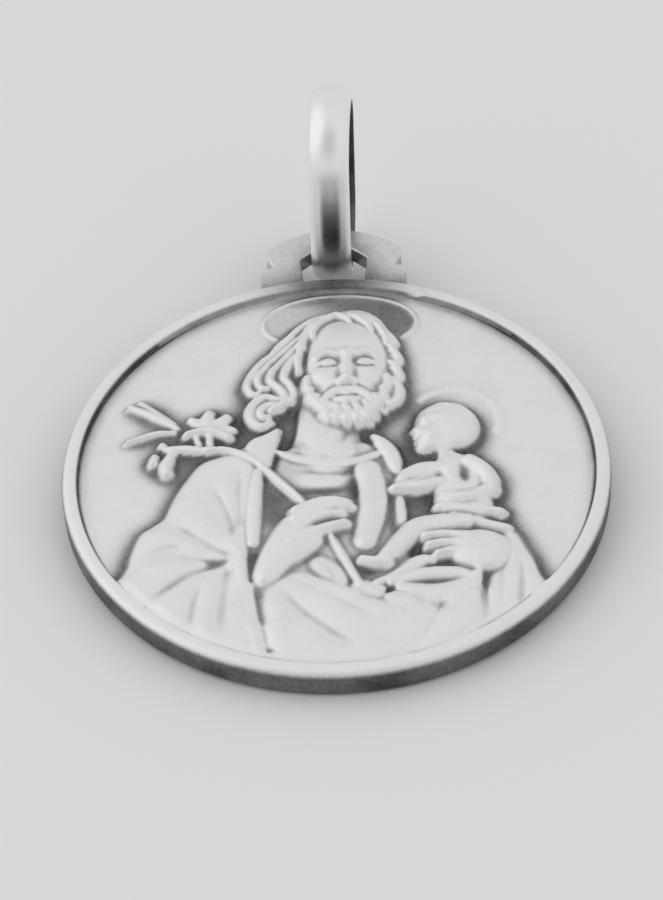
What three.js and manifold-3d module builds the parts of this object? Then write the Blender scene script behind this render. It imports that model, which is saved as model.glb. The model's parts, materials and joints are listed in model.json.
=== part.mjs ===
// Religious medal pendant: a struck round medal with a pierced crest, and the upright oval bail that passes
// through the crest. Millimetres, +Z up. The medal lies face up on a surface, raised a little at its crest by the
// bail's wire under it. The origin is on that surface, below the middle of the whole.
import * as THREE from 'three';
import { mergeVertices } from 'three/addons/utils/BufferGeometryUtils.js';
import Module from 'manifold-3d';

// Medal
const MEDAL_RADIUS = 10;
const FIELD_THICKNESS = 0.88; // back to the sunk field
const RIM_HEIGHT = 0.32; // rim's crown over the field
const RIM_WIDTH = 0.52;
const RIM_WALL_SLOPE = 0.07; // how far the rim's inner wall leans
const EDGE_ROUND = 0.28; // radius of the rim's outer corners
const RELIEF_HEIGHT = 0.75; // full height of the relief over the field

// Crest, with the hole for the bail
const CREST_WIDTH = 5.7;
const CREST_THICKNESS = 0.7;
const CREST_SETBACK = 0.35; // crest's front face below the rim's crown
const CREST_FOOT = 0.7; // how deep the crest is rooted in the rim
const CREST_BEVEL = 0.05;
const BRIDGE_HEIGHT = 0.92; // metal over the hole
const HOLE_SIDE_GAP = 0.54; // hole's wall to the wire, on either side
const HOLE_RISE_GAP = 1.58; // how much taller the hole is than the wire is thick

// Bail, a loop of half-round wire, flat inside
const WIRE_WIDTH = 1.58;
const WIRE_THICKNESS = 0.65;
const BAIL_HEIGHT = 8.66;
const BAIL_PLAY = 2.68; // room beside the crest's bridge inside the loop
const LEG_GAP = 0.98; // hole's top to the inner face of the wire that passes through it
const UNDER_GAP = 0.55; // crest's back to the inner face of the wire under it
const WIRE_LIP_SHARE = 1 / 6; // of the wire's thickness, a low shoulder beside the flat inner face
const WIRE_FLAT_SHARE = 0.92; // of the wire's width, the flat inner face
const BAIL_TURN = THREE.MathUtils.degToRad(3.4);
const BAIL_LEAN = THREE.MathUtils.degToRad(0.7);

// Fineness of the mesh
const RELIEF_CELLS = 58; // across the field, even
const CURVE_STEPS = 5; // between two points of an outline or a run
const FOLD_STEPS = 8;
const HALO_STEPS = 40;
const ROUND_STEPS = 3;
const WIRE_SIDES = 9; // odd, so that the wire's crown is a narrow flat
const BEND_STEPS = 15;

// How soft the relief's edges are, in cells of its mesh, and how strokes fade out at their ends
const OUTLINE_SOFTNESS = 0.8;
const FOLD_LEAST_WIDTH = 1.1;
const HALO_LEAST_WIDTH = 0.77;
const FOLD_FADE = 0.2; // share of the stroke's length
const HALO_FADE = 0.04;

const SILVER = { color: 0xc9c8c4, roughness: 0.3, metalness: 1 };

// The relief. Places are hundredths of the medal's radius from its centre, x to the right and y up the face.
// Heights are hundredths of the relief's full height over the field. The forms stand from the back to the front.
// A sheet falls from its top height by its drop towards its outline, over the width of its edge.
// A limb is round, along a run of points with columns x, y and half width.
// Folds are strokes raised or sunk on their own form only. A halo is a thin raised arc.
const FOLD_COLUMNS = ['x0', 'y0', 'x1', 'y1', 'bend', 'width', 'height']; // bend is per cent of the fold's length

const relief = [
  { name: 'halo', kind: 'halo', top: 22, width: 1.5, x: 2, y: 76.5, a: 29.3, b: 15, from: -42, to: 222 },
  { name: 'child halo', kind: 'halo', top: 14, width: 2.2, x: 44, y: 22.5, a: 16, b: 16, from: -38, to: 142 },
  {
    name: 'right cloak', kind: 'sheet', top: 46, drop: 34, edge: 7,
    outline: [[58, -26], [62, -32], [69.5, -46], [77, -62], [84, -70], [74, -86], [50, -96], [46, -80], [50, -45]],
    folds: [[61, -30, 60, -80, 3, 2.6, 14], [64.5, -36, 66, -70, 2, 2.4, -16], [56, -50, 56, -80, 0, 3, -30]],
  },
  {
    name: 'tunic', kind: 'sheet', top: 36, drop: 12, edge: 4,
    outline: [[-24, -2], [-19, 8], [-6, 12], [8, 12], [16, 8], [21, -2], [26, -40], [24, -60], [-12, -64], [-30, -40]],
    folds: [[-18, -13, 7, -13, -2, 2.4, -14], [-17, -4, 18, -3, -2, 2.4, -10], [19.5, -6, 19.5, -36, 1, 2.4, -16]],
  },
  { name: 'neck', kind: 'limb', top: 46, drop: 26, run: [[-1, 30, 13], [-2.5, 16, 12.5], [-3, 8, 14]] },
  {
    name: 'collar', kind: 'limb', top: 48, drop: 14,
    run: [[-20, 5.5, 2.2], [-13, 1.8, 2.4], [-2, 0.2, 2.4], [8, 1, 2.4], [16, 4.5, 2.2]],
  },
  {
    name: 'right lapel', kind: 'sheet', top: 52, drop: 16, edge: 3,
    outline: [[13, 14], [17.5, 12.5], [22.5, 6], [24, -1], [22, -6], [19, -3], [17, 3]],
  },
  {
    name: 'lower robe', kind: 'sheet', top: 52, drop: 12, edge: 4,
    outline: [
      [-30, -58], [-12, -53], [-2, -58], [10, -62], [34, -62], [50, -56], [53, -76], [54, -92],
      [20, -100], [-12, -101], [-28, -98], [-25, -86], [-23, -72],
    ],
    folds: [
      [-20, -60, 5, -88, -2, 2.4, -20], [-3, -62, 25, -82, -2, 2.4, -16], [37, -67, 22, -95, 3, 2.4, -14],
      [-12, -58, 18, -84, 0, 4.5, 9], [-21.5, -60, -20, -86, 0, 2.4, 14],
    ],
  },
  {
    name: 'hanging fold', kind: 'limb', top: 60, drop: 34,
    run: [[11, -2, 5.2], [13, -14, 6.4], [13.6, -26, 6.4], [11.5, -37.5, 4.6]],
  },
  {
    name: 'left cloak', kind: 'sheet', top: 54, drop: 30, edge: 7,
    outline: [
      [-20, 18], [-39, 8.5], [-47.5, 4], [-53.5, -4], [-62.5, -22], [-68, -27], [-71.5, -34], [-74, -43], [-79, -53],
      [-88, -64], [-80, -78], [-62, -90], [-45, -97], [-30, -101], [-24, -94], [-25.5, -82], [-29.5, -50],
      [-27, -20], [-22, 6],
    ],
    folds: [
      [-47, -8, -34.5, -42, 3, 2.4, -18], [-67, -25, -36, -44, 6, 2.4, -22], [-74, -47, -57, -36, 4, 2.4, -16],
      [-61, -43, -39, -45, 0, 2.4, -14], [-69, -65, -37, -46, 3, 2.5, -24], [-51.5, -82, -46, -54, 2, 2.5, -12],
      [-38.5, -86, -37.5, -48, 0, 2.8, -24], [-33.2, 1, -34, -42, -1, 2.4, -16], [-32, -44, -27, -88, -3, 2.6, 16],
    ],
  },
  {
    name: 'left lapel', kind: 'sheet', top: 60, drop: 16, edge: 3,
    outline: [[-20, 18.5], [-26, 15.5], [-32, 12], [-32.5, 5], [-29, -1], [-24.5, -4], [-22.5, 4]],
  },
  {
    name: 'cloth under the child', kind: 'limb', top: 58, drop: 30,
    run: [[17, -57, 1.6], [25, -52.5, 2.8], [32, -49, 4.2], [40, -52, 3.6], [46, -54, 2.2]],
  },
  {
    name: 'cloth loop', kind: 'limb', top: 56, drop: 28,
    run: [[25.5, -59.5, 2.6], [31, -64, 3.6], [39, -63.5, 3.8], [47, -57.5, 3.2]],
  },
  {
    name: 'child body', kind: 'limb', top: 66, drop: 38,
    run: [[41, -1, 5.5], [45, -8, 8], [47.5, -18, 7.8], [49, -28, 8.5]],
  },
  { name: 'child far arm', kind: 'limb', top: 66, drop: 28, run: [[37.5, -3, 3.4], [30, -4, 3.2], [26, -8, 2.4]] },
  {
    name: 'child far forearm', kind: 'limb', top: 72, drop: 28,
    run: [[36.5, -10.5, 2.6], [29, -12.5, 2.7], [22.5, -14, 2.5]],
  },
  {
    name: 'child leg', kind: 'limb', top: 78, drop: 40,
    run: [[46, -33, 5.2], [35, -30.5, 5], [28, -32.5, 4.4], [22, -40.5, 3.4], [17.5, -46, 2.8], [10, -47.6, 2]],
  },
  { name: 'waist cloth', kind: 'limb', top: 70, drop: 26, run: [[37.5, -25, 2], [46, -26, 3.2], [57, -28.5, 2.8]] },
  { name: 'waist knot', kind: 'limb', top: 66, drop: 26, run: [[50, -32.5, 3], [59, -34, 2.4]] },
  {
    name: 'child near arm', kind: 'limb', top: 82, drop: 34,
    run: [[50.5, -1.5, 4.4], [54, -9, 3.8], [54.5, -15, 3.4], [47, -19, 3], [40.5, -20, 2.6]],
  },
  { name: 'left hand', kind: 'limb', top: 84, drop: 40, run: [[51.5, -43, 8], [45, -43.5, 6], [32, -40.5, 3]] },
  { name: 'child neck', kind: 'limb', top: 64, drop: 30, run: [[38.5, 8, 3.6], [40.5, 1, 4.6]] },
  { name: 'child head', kind: 'limb', top: 84, drop: 54, run: [[42.5, 19.5, 10.6], [36, 15, 7.6]] },
  {
    name: 'left hair', kind: 'limb', top: 70, drop: 40,
    run: [[-2, 74, 4], [-11, 68, 6], [-19, 58, 7], [-26, 48, 7.5], [-26, 38, 6.6], [-25, 28, 6.6], [-24, 22, 5.2]],
    folds: [[-10, 68, -30, 42, -8, 2.4, -14], [-18, 52, -22, 26, 10, 2.4, -14]],
  },
  {
    name: 'right hair', kind: 'limb', top: 66, drop: 34,
    run: [[12, 73.5, 4.5], [18.5, 66, 4], [21.5, 55, 3.4], [22.5, 44, 3], [21.5, 34, 3.6], [18, 26, 3]],
  },
  {
    name: 'face', kind: 'sheet', top: 86, drop: 36, edge: 11,
    outline: [[4.5, 73.5], [-5, 71], [-13, 50], [-12, 38], [-7, 27], [4, 20], [13, 24], [19, 34], [20.5, 46], [13, 70]],
    folds: [[5.5, 54, 6.5, 38, 0, 2.6, 14], [-9, 52, 2, 52, 3, 2.4, 8], [9, 52, 18, 52, 3, 2.4, 8]],
  },
  {
    name: 'top hair', kind: 'limb', top: 74, drop: 30,
    run: [[-13, 66, 3.4], [-6, 73, 3.6], [3, 76.5, 3.4], [12, 74, 4], [17, 68, 3.2]],
  },
  {
    name: 'beard', kind: 'limb', top: 90, drop: 38,
    run: [[-11.5, 40, 2.6], [-10, 31, 4.2], [-3, 23.5, 6], [5, 21, 6.6], [12, 23.5, 6], [17, 32, 4], [18.8, 40, 2.4]],
  },
  { name: 'low stalk', kind: 'limb', top: 58, drop: 18, run: [[-3, -34, 1.6], [1, -43, 1.6], [8.5, -60, 1.6]] },
  {
    name: 'right hand', kind: 'limb', top: 84, drop: 42,
    run: [[-26.5, -51, 6.4], [-20.5, -41, 7.2], [-14, -34, 6.8], [-8, -27.5, 5.2], [-2, -22.5, 3.8], [3.5, -20.5, 2.2]],
  },
  { name: 'thumb', kind: 'limb', top: 82, drop: 22, run: [[-9, -33, 2.8], [-3, -30.5, 2.4], [2, -28, 1.8]] },
  {
    name: 'high stalk', kind: 'limb', top: 68, drop: 20,
    run: [[-47, 8, 1.7], [-40, 7.6, 1.6], [-28, 0, 1.6], [-21, -8.5, 1.6], [-12, -20, 1.6]],
  },
  { name: 'upper bud', kind: 'limb', top: 50, drop: 24, run: [[-58.5, 21, 1.4], [-65, 26, 2.4], [-77, 34.5, 1.2]] },
  { name: 'lower bud', kind: 'limb', top: 48, drop: 24, run: [[-59.5, 19, 1.4], [-65, 18.8, 2.2], [-76, 15.6, 1.2]] },
  { name: 'leaf', kind: 'limb', top: 60, drop: 22, run: [[-60.5, 9.5, 1.8], [-54, 8.8, 2.4], [-46, 8, 2.2]] },
  { name: 'left petal', kind: 'limb', top: 56, drop: 24, run: [[-47, 20, 2.4], [-53, 26, 1.8]] },
  { name: 'right petal', kind: 'limb', top: 58, drop: 24, run: [[-46, 20, 2.6], [-42, 26.5, 2.2]] },
  { name: 'lip', kind: 'limb', top: 64, drop: 28, run: [[-54.5, 16.5, 1.8], [-47, 19, 2.6], [-39.5, 16.5, 1.8]] },
  { name: 'left bell', kind: 'limb', top: 58, drop: 28, run: [[-60, 7, 2], [-62, 1, 2.8], [-61.5, -2, 2.4]] },
  { name: 'bud tip', kind: 'limb', top: 50, drop: 22, run: [[-66.5, 5.5, 2.2], [-66.8, 3, 2]] },
];

const smoothstep = (value, low, high) => THREE.MathUtils.smoothstep(value, low, high);

// Points of a smooth curve through a table of points. A third column, the half width, is carried along as z.
function smoothRun(rows, closed) {
  const points = rows.map(([x, y, width = 0]) => new THREE.Vector3(x, y, width));
  if (points.length < 3) return points;
  const curve = new THREE.CatmullRomCurve3(points, closed, 'catmullrom', 0.5);
  return curve.getPoints(points.length * CURVE_STEPS);
}

// Nearest point of a polyline to a place: distance, share of the way along, and how deep the place lies inside
// the run's half width, below zero outside.
function nearest(run, x, y) {
  let distance = Infinity;
  let along = 0;
  let depth = -Infinity;
  let width = 1;
  for (let i = 0; i + 1 < run.length; i += 1) {
    const [a, b] = [run[i], run[i + 1]];
    const [dx, dy] = [b.x - a.x, b.y - a.y];
    const t = THREE.MathUtils.clamp(((x - a.x) * dx + (y - a.y) * dy) / (dx * dx + dy * dy || 1), 0, 1);
    const gap = Math.hypot(x - a.x - t * dx, y - a.y - t * dy);
    const halfWidth = a.z + t * (b.z - a.z);
    if (gap < distance) {
      distance = gap;
      along = (i + t) / (run.length - 1);
    }
    if (halfWidth > 0 && (halfWidth - gap) / halfWidth > depth / width) {
      depth = halfWidth - gap;
      width = halfWidth;
    }
  }
  return { distance, along, depth, width };
}

function isInside(run, x, y) {
  let inside = false;
  for (let i = 0; i + 1 < run.length; i += 1) {
    const [a, b] = [run[i], run[i + 1]];
    if ((a.y > y) !== (b.y > y) && x < ((b.x - a.x) * (y - a.y)) / (b.y - a.y) + a.x) inside = !inside;
  }
  return inside;
}

function foldRun(row) {
  const fold = Object.fromEntries(FOLD_COLUMNS.map((column, i) => [column, row[i]]));
  const start = new THREE.Vector2(fold.x0, fold.y0);
  const end = new THREE.Vector2(fold.x1, fold.y1);
  const across = new THREE.Vector2(start.y - end.y, end.x - start.x);
  const middle = start.clone().add(end).multiplyScalar(0.5).addScaledVector(across, (2 * fold.bend) / 100);
  const points = new THREE.QuadraticBezierCurve(start, middle, end).getPoints(FOLD_STEPS);
  return { ...fold, run: points.map((point) => new THREE.Vector3(point.x, point.y, 0)) };
}

// Height that a stroke adds at a place: a soft ridge or groove that fades out at both ends
function strokeHeight(run, width, height, x, y, fade) {
  const { distance, along } = nearest(run, x, y);
  const ends = smoothstep(along, 0, fade) * smoothstep(1 - along, 0, fade);
  return height * Math.exp(-((distance / width) ** 2)) * ends;
}

function haloRun(form) {
  const [from, to] = [form.from, form.to].map(THREE.MathUtils.degToRad);
  const points = new THREE.EllipseCurve(form.x, form.y, form.a, form.b, from, to).getPoints(HALO_STEPS);
  return points.map((point) => new THREE.Vector3(point.x, point.y, 0));
}

// Height of a form at a place and how deep the place lies inside it, or below zero outside it
function formHeight(form, run, x, y) {
  const near = nearest(run, x, y);
  if (form.kind === 'sheet') {
    const depth = isInside(run, x, y) ? near.distance : -near.distance;
    const slope = 1 - THREE.MathUtils.clamp(depth / form.edge, 0, 1);
    return { depth, height: form.top - form.drop * slope * slope };
  }
  const aside = THREE.MathUtils.clamp(1 - near.depth / near.width, 0, 1);
  return { depth: near.depth, height: form.top - form.drop * (1 - Math.sqrt(1 - aside * aside)) };
}

// Heights of the relief over the field in millimetres, at places in millimetres from the medal's centre
function reliefHeights(places, cell) {
  const unit = MEDAL_RADIUS / 100;
  const grid = cell / unit;
  const soft = OUTLINE_SOFTNESS * grid;
  const finest = FOLD_LEAST_WIDTH * grid; // no stroke is narrower than the mesh can show
  const heights = places.map(() => 0);
  for (const form of relief) {
    const run = form.kind === 'halo' ? haloRun(form) : smoothRun(form.outline ?? form.run, form.kind === 'sheet');
    const folds = (form.folds ?? []).map(foldRun);
    places.forEach((place, i) => {
      const [x, y] = [place.x / unit, place.y / unit];
      if (form.kind === 'halo') {
        heights[i] += strokeHeight(run, Math.max(form.width, HALO_LEAST_WIDTH * grid), form.top, x, y, HALO_FADE);
        return;
      }
      const { depth, height } = formHeight(form, run, x, y);
      const cover = smoothstep(depth, -soft, soft);
      if (cover === 0 || height <= heights[i]) return;
      const raised = folds.reduce((sum, fold) =>
        sum + strokeHeight(fold.run, Math.max(fold.width, finest), fold.height, x, y, FOLD_FADE), 0);
      heights[i] += (height + raised - heights[i]) * cover;
    });
  }
  return heights.map((height) => (height / 100) * RELIEF_HEIGHT);
}

// Triangle mesh from rows of vertices, as a geometry with only positions
function meshGeometry(vertices, triangles) {
  const geometry = new THREE.BufferGeometry();
  geometry.setAttribute('position', new THREE.Float32BufferAttribute(vertices.flatMap((v) => v.toArray()), 3));
  geometry.setIndex(triangles.flat());
  return geometry;
}

// The struck disc: the relief on a square grid pressed round, then the rim, the edge and the flat back in rings
function discGeometry() {
  const fieldRadius = MEDAL_RADIUS - RIM_WIDTH - RIM_WALL_SLOPE;
  const crown = FIELD_THICKNESS + RIM_HEIGHT;
  const count = RELIEF_CELLS + 1;
  const vertices = [];
  for (let row = 0; row < count; row += 1) {
    for (let column = 0; column < count; column += 1) {
      const u = (2 * column) / RELIEF_CELLS - 1;
      const v = (2 * row) / RELIEF_CELLS - 1;
      const place = new THREE.Vector3(u * Math.sqrt(1 - (v * v) / 2), v * Math.sqrt(1 - (u * u) / 2), 0);
      vertices.push(place.multiplyScalar(fieldRadius));
    }
  }
  const heights = reliefHeights(vertices, (2 * fieldRadius) / RELIEF_CELLS);
  vertices.forEach((vertex, i) => {
    const border = smoothstep(vertex.length() / fieldRadius, 0.97, 1); // the relief sinks to the rim at the border
    vertex.z = FIELD_THICKNESS + THREE.MathUtils.lerp(heights[i], Math.min(heights[i], RIM_HEIGHT), border);
  });

  const triangles = [];
  for (let row = 0; row < RELIEF_CELLS; row += 1) {
    for (let column = 0; column < RELIEF_CELLS; column += 1) {
      const a = row * count + column;
      const [b, c, d] = [a + 1, a + count + 1, a + count];
      const split = (column < RELIEF_CELLS / 2) === (row < RELIEF_CELLS / 2); // diagonals run outwards, so none folds
      triangles.push(...(split ? [[a, b, d], [b, c, d]] : [[a, b, c], [a, c, d]]));
    }
  }

  // Border of the grid, anticlockwise
  const last = RELIEF_CELLS;
  const border = [];
  for (let i = 0; i < last; i += 1) border.push(i);
  for (let i = 0; i < last; i += 1) border.push(i * count + last);
  for (let i = last; i > 0; i -= 1) border.push(last * count + i);
  for (let i = last; i > 0; i -= 1) border.push(i * count);

  // Rings outside the field, each as radius and height, from the rim's crown over the edge to the back
  const rings = [[MEDAL_RADIUS - RIM_WIDTH, crown]];
  for (let i = 0; i <= ROUND_STEPS; i += 1) {
    const angle = (i / ROUND_STEPS) * (Math.PI / 2);
    rings.push([MEDAL_RADIUS - EDGE_ROUND * (1 - Math.sin(angle)), crown - EDGE_ROUND * (1 - Math.cos(angle))]);
  }
  for (let i = 0; i <= ROUND_STEPS; i += 1) {
    const angle = (i / ROUND_STEPS) * (Math.PI / 2);
    rings.push([MEDAL_RADIUS - EDGE_ROUND * (1 - Math.cos(angle)), EDGE_ROUND * (1 - Math.sin(angle))]);
  }
  // Every ring has half as many vertices as the border
  const size = border.length / 2;
  const ringStart = vertices.length;
  for (const [radius, height] of rings) {
    for (let i = 0; i < size; i += 1) {
      const edge = vertices[border[2 * i]];
      const turn = Math.atan2(edge.y, edge.x);
      vertices.push(new THREE.Vector3(radius * Math.cos(turn), radius * Math.sin(turn), height));
    }
  }
  for (let i = 0; i < size; i += 1) {
    const [a, b, c] = [border[2 * i], border[2 * i + 1], border[(2 * i + 2) % border.length]];
    const [d, e] = [ringStart + i, ringStart + ((i + 1) % size)];
    triangles.push([a, d, b], [b, d, e], [b, e, c]);
  }
  for (let ring = 0; ring + 1 < rings.length; ring += 1) {
    for (let i = 0; i < size; i += 1) {
      const a = ringStart + ring * size + i;
      const b = ringStart + ring * size + ((i + 1) % size);
      triangles.push([a, a + size, b + size], [a, b + size, b]);
    }
  }
  const back = vertices.length - size;
  const middle = vertices.length;
  vertices.push(new THREE.Vector3(0, 0, 0));
  for (let i = 0; i < size; i += 1) triangles.push([back + i, middle, back + ((i + 1) % size)]);
  return meshGeometry(vertices, triangles);
}

const holeRise = WIRE_THICKNESS + HOLE_RISE_GAP;
const holeTop = MEDAL_RADIUS + holeRise;
const crestTop = holeTop + BRIDGE_HEIGHT;
const crestBack = FIELD_THICKNESS + RIM_HEIGHT - CREST_SETBACK - CREST_THICKNESS;

// Right half of the crest's outline as shares: x of half its width, y of its height over the rim
const crestSide = [[0.995, 0.3], [0.83, 0.325], [0.93, 0.51], [0.93, 0.61]];
const crestArch = { x: 0.91, y: 0.655 }; // where the round top begins

function crestGeometry() {
  const half = CREST_WIDTH / 2;
  const height = crestTop - MEDAL_RADIUS;
  const side = crestSide.map(([x, y]) => [x * half, MEDAL_RADIUS + y * height]);
  const outline = new THREE.Shape();
  outline.moveTo(-half, MEDAL_RADIUS - CREST_FOOT);
  outline.lineTo(half, MEDAL_RADIUS - CREST_FOOT);
  for (const [x, y] of side) outline.lineTo(x, y);
  const reach = crestArch.x * half;
  const rise = (1 - crestArch.y) * height;
  const radius = (reach * reach + rise * rise) / (2 * rise);
  const spread = Math.asin(reach / radius);
  outline.absarc(0, crestTop - radius, radius, Math.PI / 2 - spread, Math.PI / 2 + spread, false);
  for (const [x, y] of side.reverse()) outline.lineTo(-x, y);
  outline.closePath();

  const holeHalf = WIRE_WIDTH / 2 + HOLE_SIDE_GAP;
  const holeSide = [[0.88, 0.02], [1, 0.64], [0.34, 1]]; // shares of the hole's half width and its rise
  const corners = holeSide.map(([x, y]) => [x * holeHalf, MEDAL_RADIUS + y * holeRise]);
  const hole = new THREE.Path();
  hole.moveTo(-corners[0][0], corners[0][1]);
  for (const [x, y] of corners.slice(1)) hole.lineTo(-x, y);
  for (const [x, y] of corners.reverse()) hole.lineTo(x, y);
  hole.closePath();
  outline.holes.push(hole);

  const geometry = new THREE.ExtrudeGeometry(outline, {
    depth: CREST_THICKNESS - 2 * CREST_BEVEL,
    bevelSize: CREST_BEVEL,
    bevelThickness: CREST_BEVEL,
    bevelOffset: -CREST_BEVEL,
    bevelSegments: 1,
    curveSegments: 16,
  });
  return geometry.translate(0, 0, crestBack + CREST_BEVEL);
}

const bailDepth = 2 * WIRE_THICKNESS + BRIDGE_HEIGHT + BAIL_PLAY;
const bailBottom = crestBack - UNDER_GAP - WIRE_THICKNESS;
const bailMiddle = holeTop - LEG_GAP - WIRE_THICKNESS + bailDepth / 2;

// Sections round the loop, straight legs with half-round ends, in its own upright plane
function bailStations() {
  const radius = bailDepth / 2;
  const stations = [];
  for (const end of [1, -1]) {
    const centre = end > 0 ? BAIL_HEIGHT - radius : radius;
    for (let i = 0; i <= BEND_STEPS; i += 1) {
      const angle = (end > 0 ? 0 : Math.PI) + (i / BEND_STEPS) * Math.PI;
      const outward = new THREE.Vector3(0, Math.cos(angle), Math.sin(angle));
      stations.push({ at: outward.clone().multiplyScalar(radius).add(new THREE.Vector3(0, 0, centre)), outward });
    }
  }
  return stations;
}

function bailGeometry() {
  const half = WIRE_WIDTH / 2;
  const crown = WIRE_THICKNESS * (1 - WIRE_LIP_SHARE);
  const section = [[-WIRE_FLAT_SHARE * half, -WIRE_THICKNESS]];
  for (let i = 0; i <= WIRE_SIDES; i += 1) {
    const angle = Math.PI - (i / WIRE_SIDES) * Math.PI;
    section.push([half * Math.cos(angle), crown * (Math.sin(angle) - 1)]);
  }
  section.push([WIRE_FLAT_SHARE * half, -WIRE_THICKNESS]);
  const stations = bailStations();
  const vertices = stations.flatMap(({ at, outward }) =>
    section.map(([x, out]) => at.clone().addScaledVector(outward, out).setX(x)));
  const triangles = [];
  const size = section.length;
  stations.forEach((_, s) => {
    const next = ((s + 1) % stations.length) * size;
    for (let i = 0; i < size; i += 1) {
      const j = (i + 1) % size;
      const [a, b, c, d] = [s * size + i, s * size + j, next + j, next + i];
      triangles.push([a, c, b], [a, d, c]);
    }
  });
  return meshGeometry(vertices, triangles);
}

const wasm = await Module();
wasm.setup();

function toSolid(geometry) {
  const bare = geometry.clone();
  bare.deleteAttribute('normal');
  bare.deleteAttribute('uv');
  const merged = mergeVertices(bare, 1e-5);
  return new wasm.Manifold(new wasm.Mesh({
    numProp: 3,
    vertProperties: new Float32Array(merged.attributes.position.array),
    triVerts: new Uint32Array(merged.index.array),
  }));
}

function toGeometry(solid) {
  const { vertProperties, triVerts } = solid.getMesh();
  const geometry = new THREE.BufferGeometry();
  geometry.setAttribute('position', new THREE.Float32BufferAttribute(vertProperties, 3));
  geometry.setIndex(new THREE.Uint32BufferAttribute(triVerts, 1));
  geometry.computeVertexNormals();
  return geometry;
}

function named(name, geometry) {
  const mesh = new THREE.Mesh(geometry, new THREE.MeshStandardMaterial(SILVER));
  mesh.name = name;
  return mesh;
}

const medal = named('medal', toGeometry(toSolid(discGeometry()).add(toSolid(crestGeometry()))));
const bail = named('bail', toGeometry(toSolid(bailGeometry())));
bail.rotation.set(0, BAIL_LEAN, -BAIL_TURN);
bail.position.set(0, bailMiddle, bailBottom);

// The pendant at rest: turned about the medal's own x axis until the rim and the bail both touch the surface
const lying = new THREE.Group();
lying.add(medal, bail);

function lowest(mesh) {
  lying.updateMatrixWorld(true);
  return new THREE.Box3().setFromObject(mesh, true).min.z;
}

let [low, high] = [0, Math.PI / 6];
for (let i = 0; i < 30; i += 1) {
  lying.rotation.x = (low + high) / 2;
  if (lowest(bail) > lowest(medal)) high = lying.rotation.x;
  else low = lying.rotation.x;
}
lying.updateMatrixWorld(true);
const box = new THREE.Box3().setFromObject(lying, true);
lying.position.set(-(box.min.x + box.max.x) / 2, -(box.min.y + box.max.y) / 2, -box.min.z);

const pendant = new THREE.Group();
pendant.add(lying);
export default pendant;
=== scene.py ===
import json
import math

import bmesh
import bpy
import numpy as np
from mathutils import Matrix, Vector


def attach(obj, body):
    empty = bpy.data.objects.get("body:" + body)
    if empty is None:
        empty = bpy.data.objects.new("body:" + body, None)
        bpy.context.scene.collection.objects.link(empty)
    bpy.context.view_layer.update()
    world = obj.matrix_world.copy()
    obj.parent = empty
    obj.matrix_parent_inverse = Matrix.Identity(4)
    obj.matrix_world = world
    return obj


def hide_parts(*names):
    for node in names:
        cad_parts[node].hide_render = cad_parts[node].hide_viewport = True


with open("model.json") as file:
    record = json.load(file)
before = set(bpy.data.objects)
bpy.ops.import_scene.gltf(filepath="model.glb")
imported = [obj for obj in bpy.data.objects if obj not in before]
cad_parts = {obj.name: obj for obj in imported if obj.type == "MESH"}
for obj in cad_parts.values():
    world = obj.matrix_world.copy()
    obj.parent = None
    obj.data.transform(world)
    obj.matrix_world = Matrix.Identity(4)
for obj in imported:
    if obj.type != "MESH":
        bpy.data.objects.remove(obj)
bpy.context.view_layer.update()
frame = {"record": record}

# A struck silver medal lying face up, with a pierced crest and an upright oval bail through it.
# Lengths in the dictionaries are millimetres in the medal's own frame: x to the right, y up the face, and z
# out of it from the flat back. The frame's mount on the back says where that frame lies.

millimetre = 0.001
scene = bpy.context.scene
scene.view_settings.view_transform = "Standard"

mounts = {mount["name"]: mount for mount in frame["record"]["mounts"]}
backFace = mounts["back_face"]
restTilt = math.atan2(backFace["axis"][1], -backFace["axis"][2])
restPlace = (Matrix.Translation(backFace["pos_m"]) @ Matrix.Rotation(restTilt, 4, "X")
             @ Matrix.Scale(millimetre, 4))

print("camera")
view = {"place": (2.18, -75.22, 70.52), "turn": (46.68, 2.23, -0.28), "lens": 110}


def addCamera(view):
    camera = bpy.data.objects.new("camera", bpy.data.cameras.new("camera"))
    scene.collection.objects.link(camera)
    camera.location = Vector(view["place"]) * millimetre
    camera.rotation_euler = [math.radians(angle) for angle in view["turn"]]
    camera.data.lens = view["lens"]
    camera.data.clip_start = 0.001
    scene.camera = camera


addCamera(view)


class Signal:  # a socket whose numbers are reckoned with like plain values
    def __init__(self, maker, socket):
        self.maker = maker
        self.socket = socket

    def reckon(self, operation, first, second):
        return self.maker.node("ShaderNodeMath", {"operation": operation}, {0: first, 1: second})

    def __add__(self, other):
        return self.reckon("ADD", self, other)

    def __sub__(self, other):
        return self.reckon("SUBTRACT", self, other)

    def __rsub__(self, other):
        return self.reckon("SUBTRACT", other, self)

    def __mul__(self, other):
        return self.reckon("MULTIPLY", self, other)

    def __pow__(self, other):
        return self.reckon("POWER", self, other)

    def atLeast(self, other):
        return self.reckon("MAXIMUM", self, other)

    def atMost(self, other):
        return self.reckon("MINIMUM", self, other)

    def between(self, low, high, start=0.0, end=1.0):  # eased from start to end
        places = {"Value": self, "From Min": low, "From Max": high, "To Min": start, "To Max": end}
        return self.maker.node("ShaderNodeMapRange", {"interpolation_type": "SMOOTHSTEP"}, places)


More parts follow.
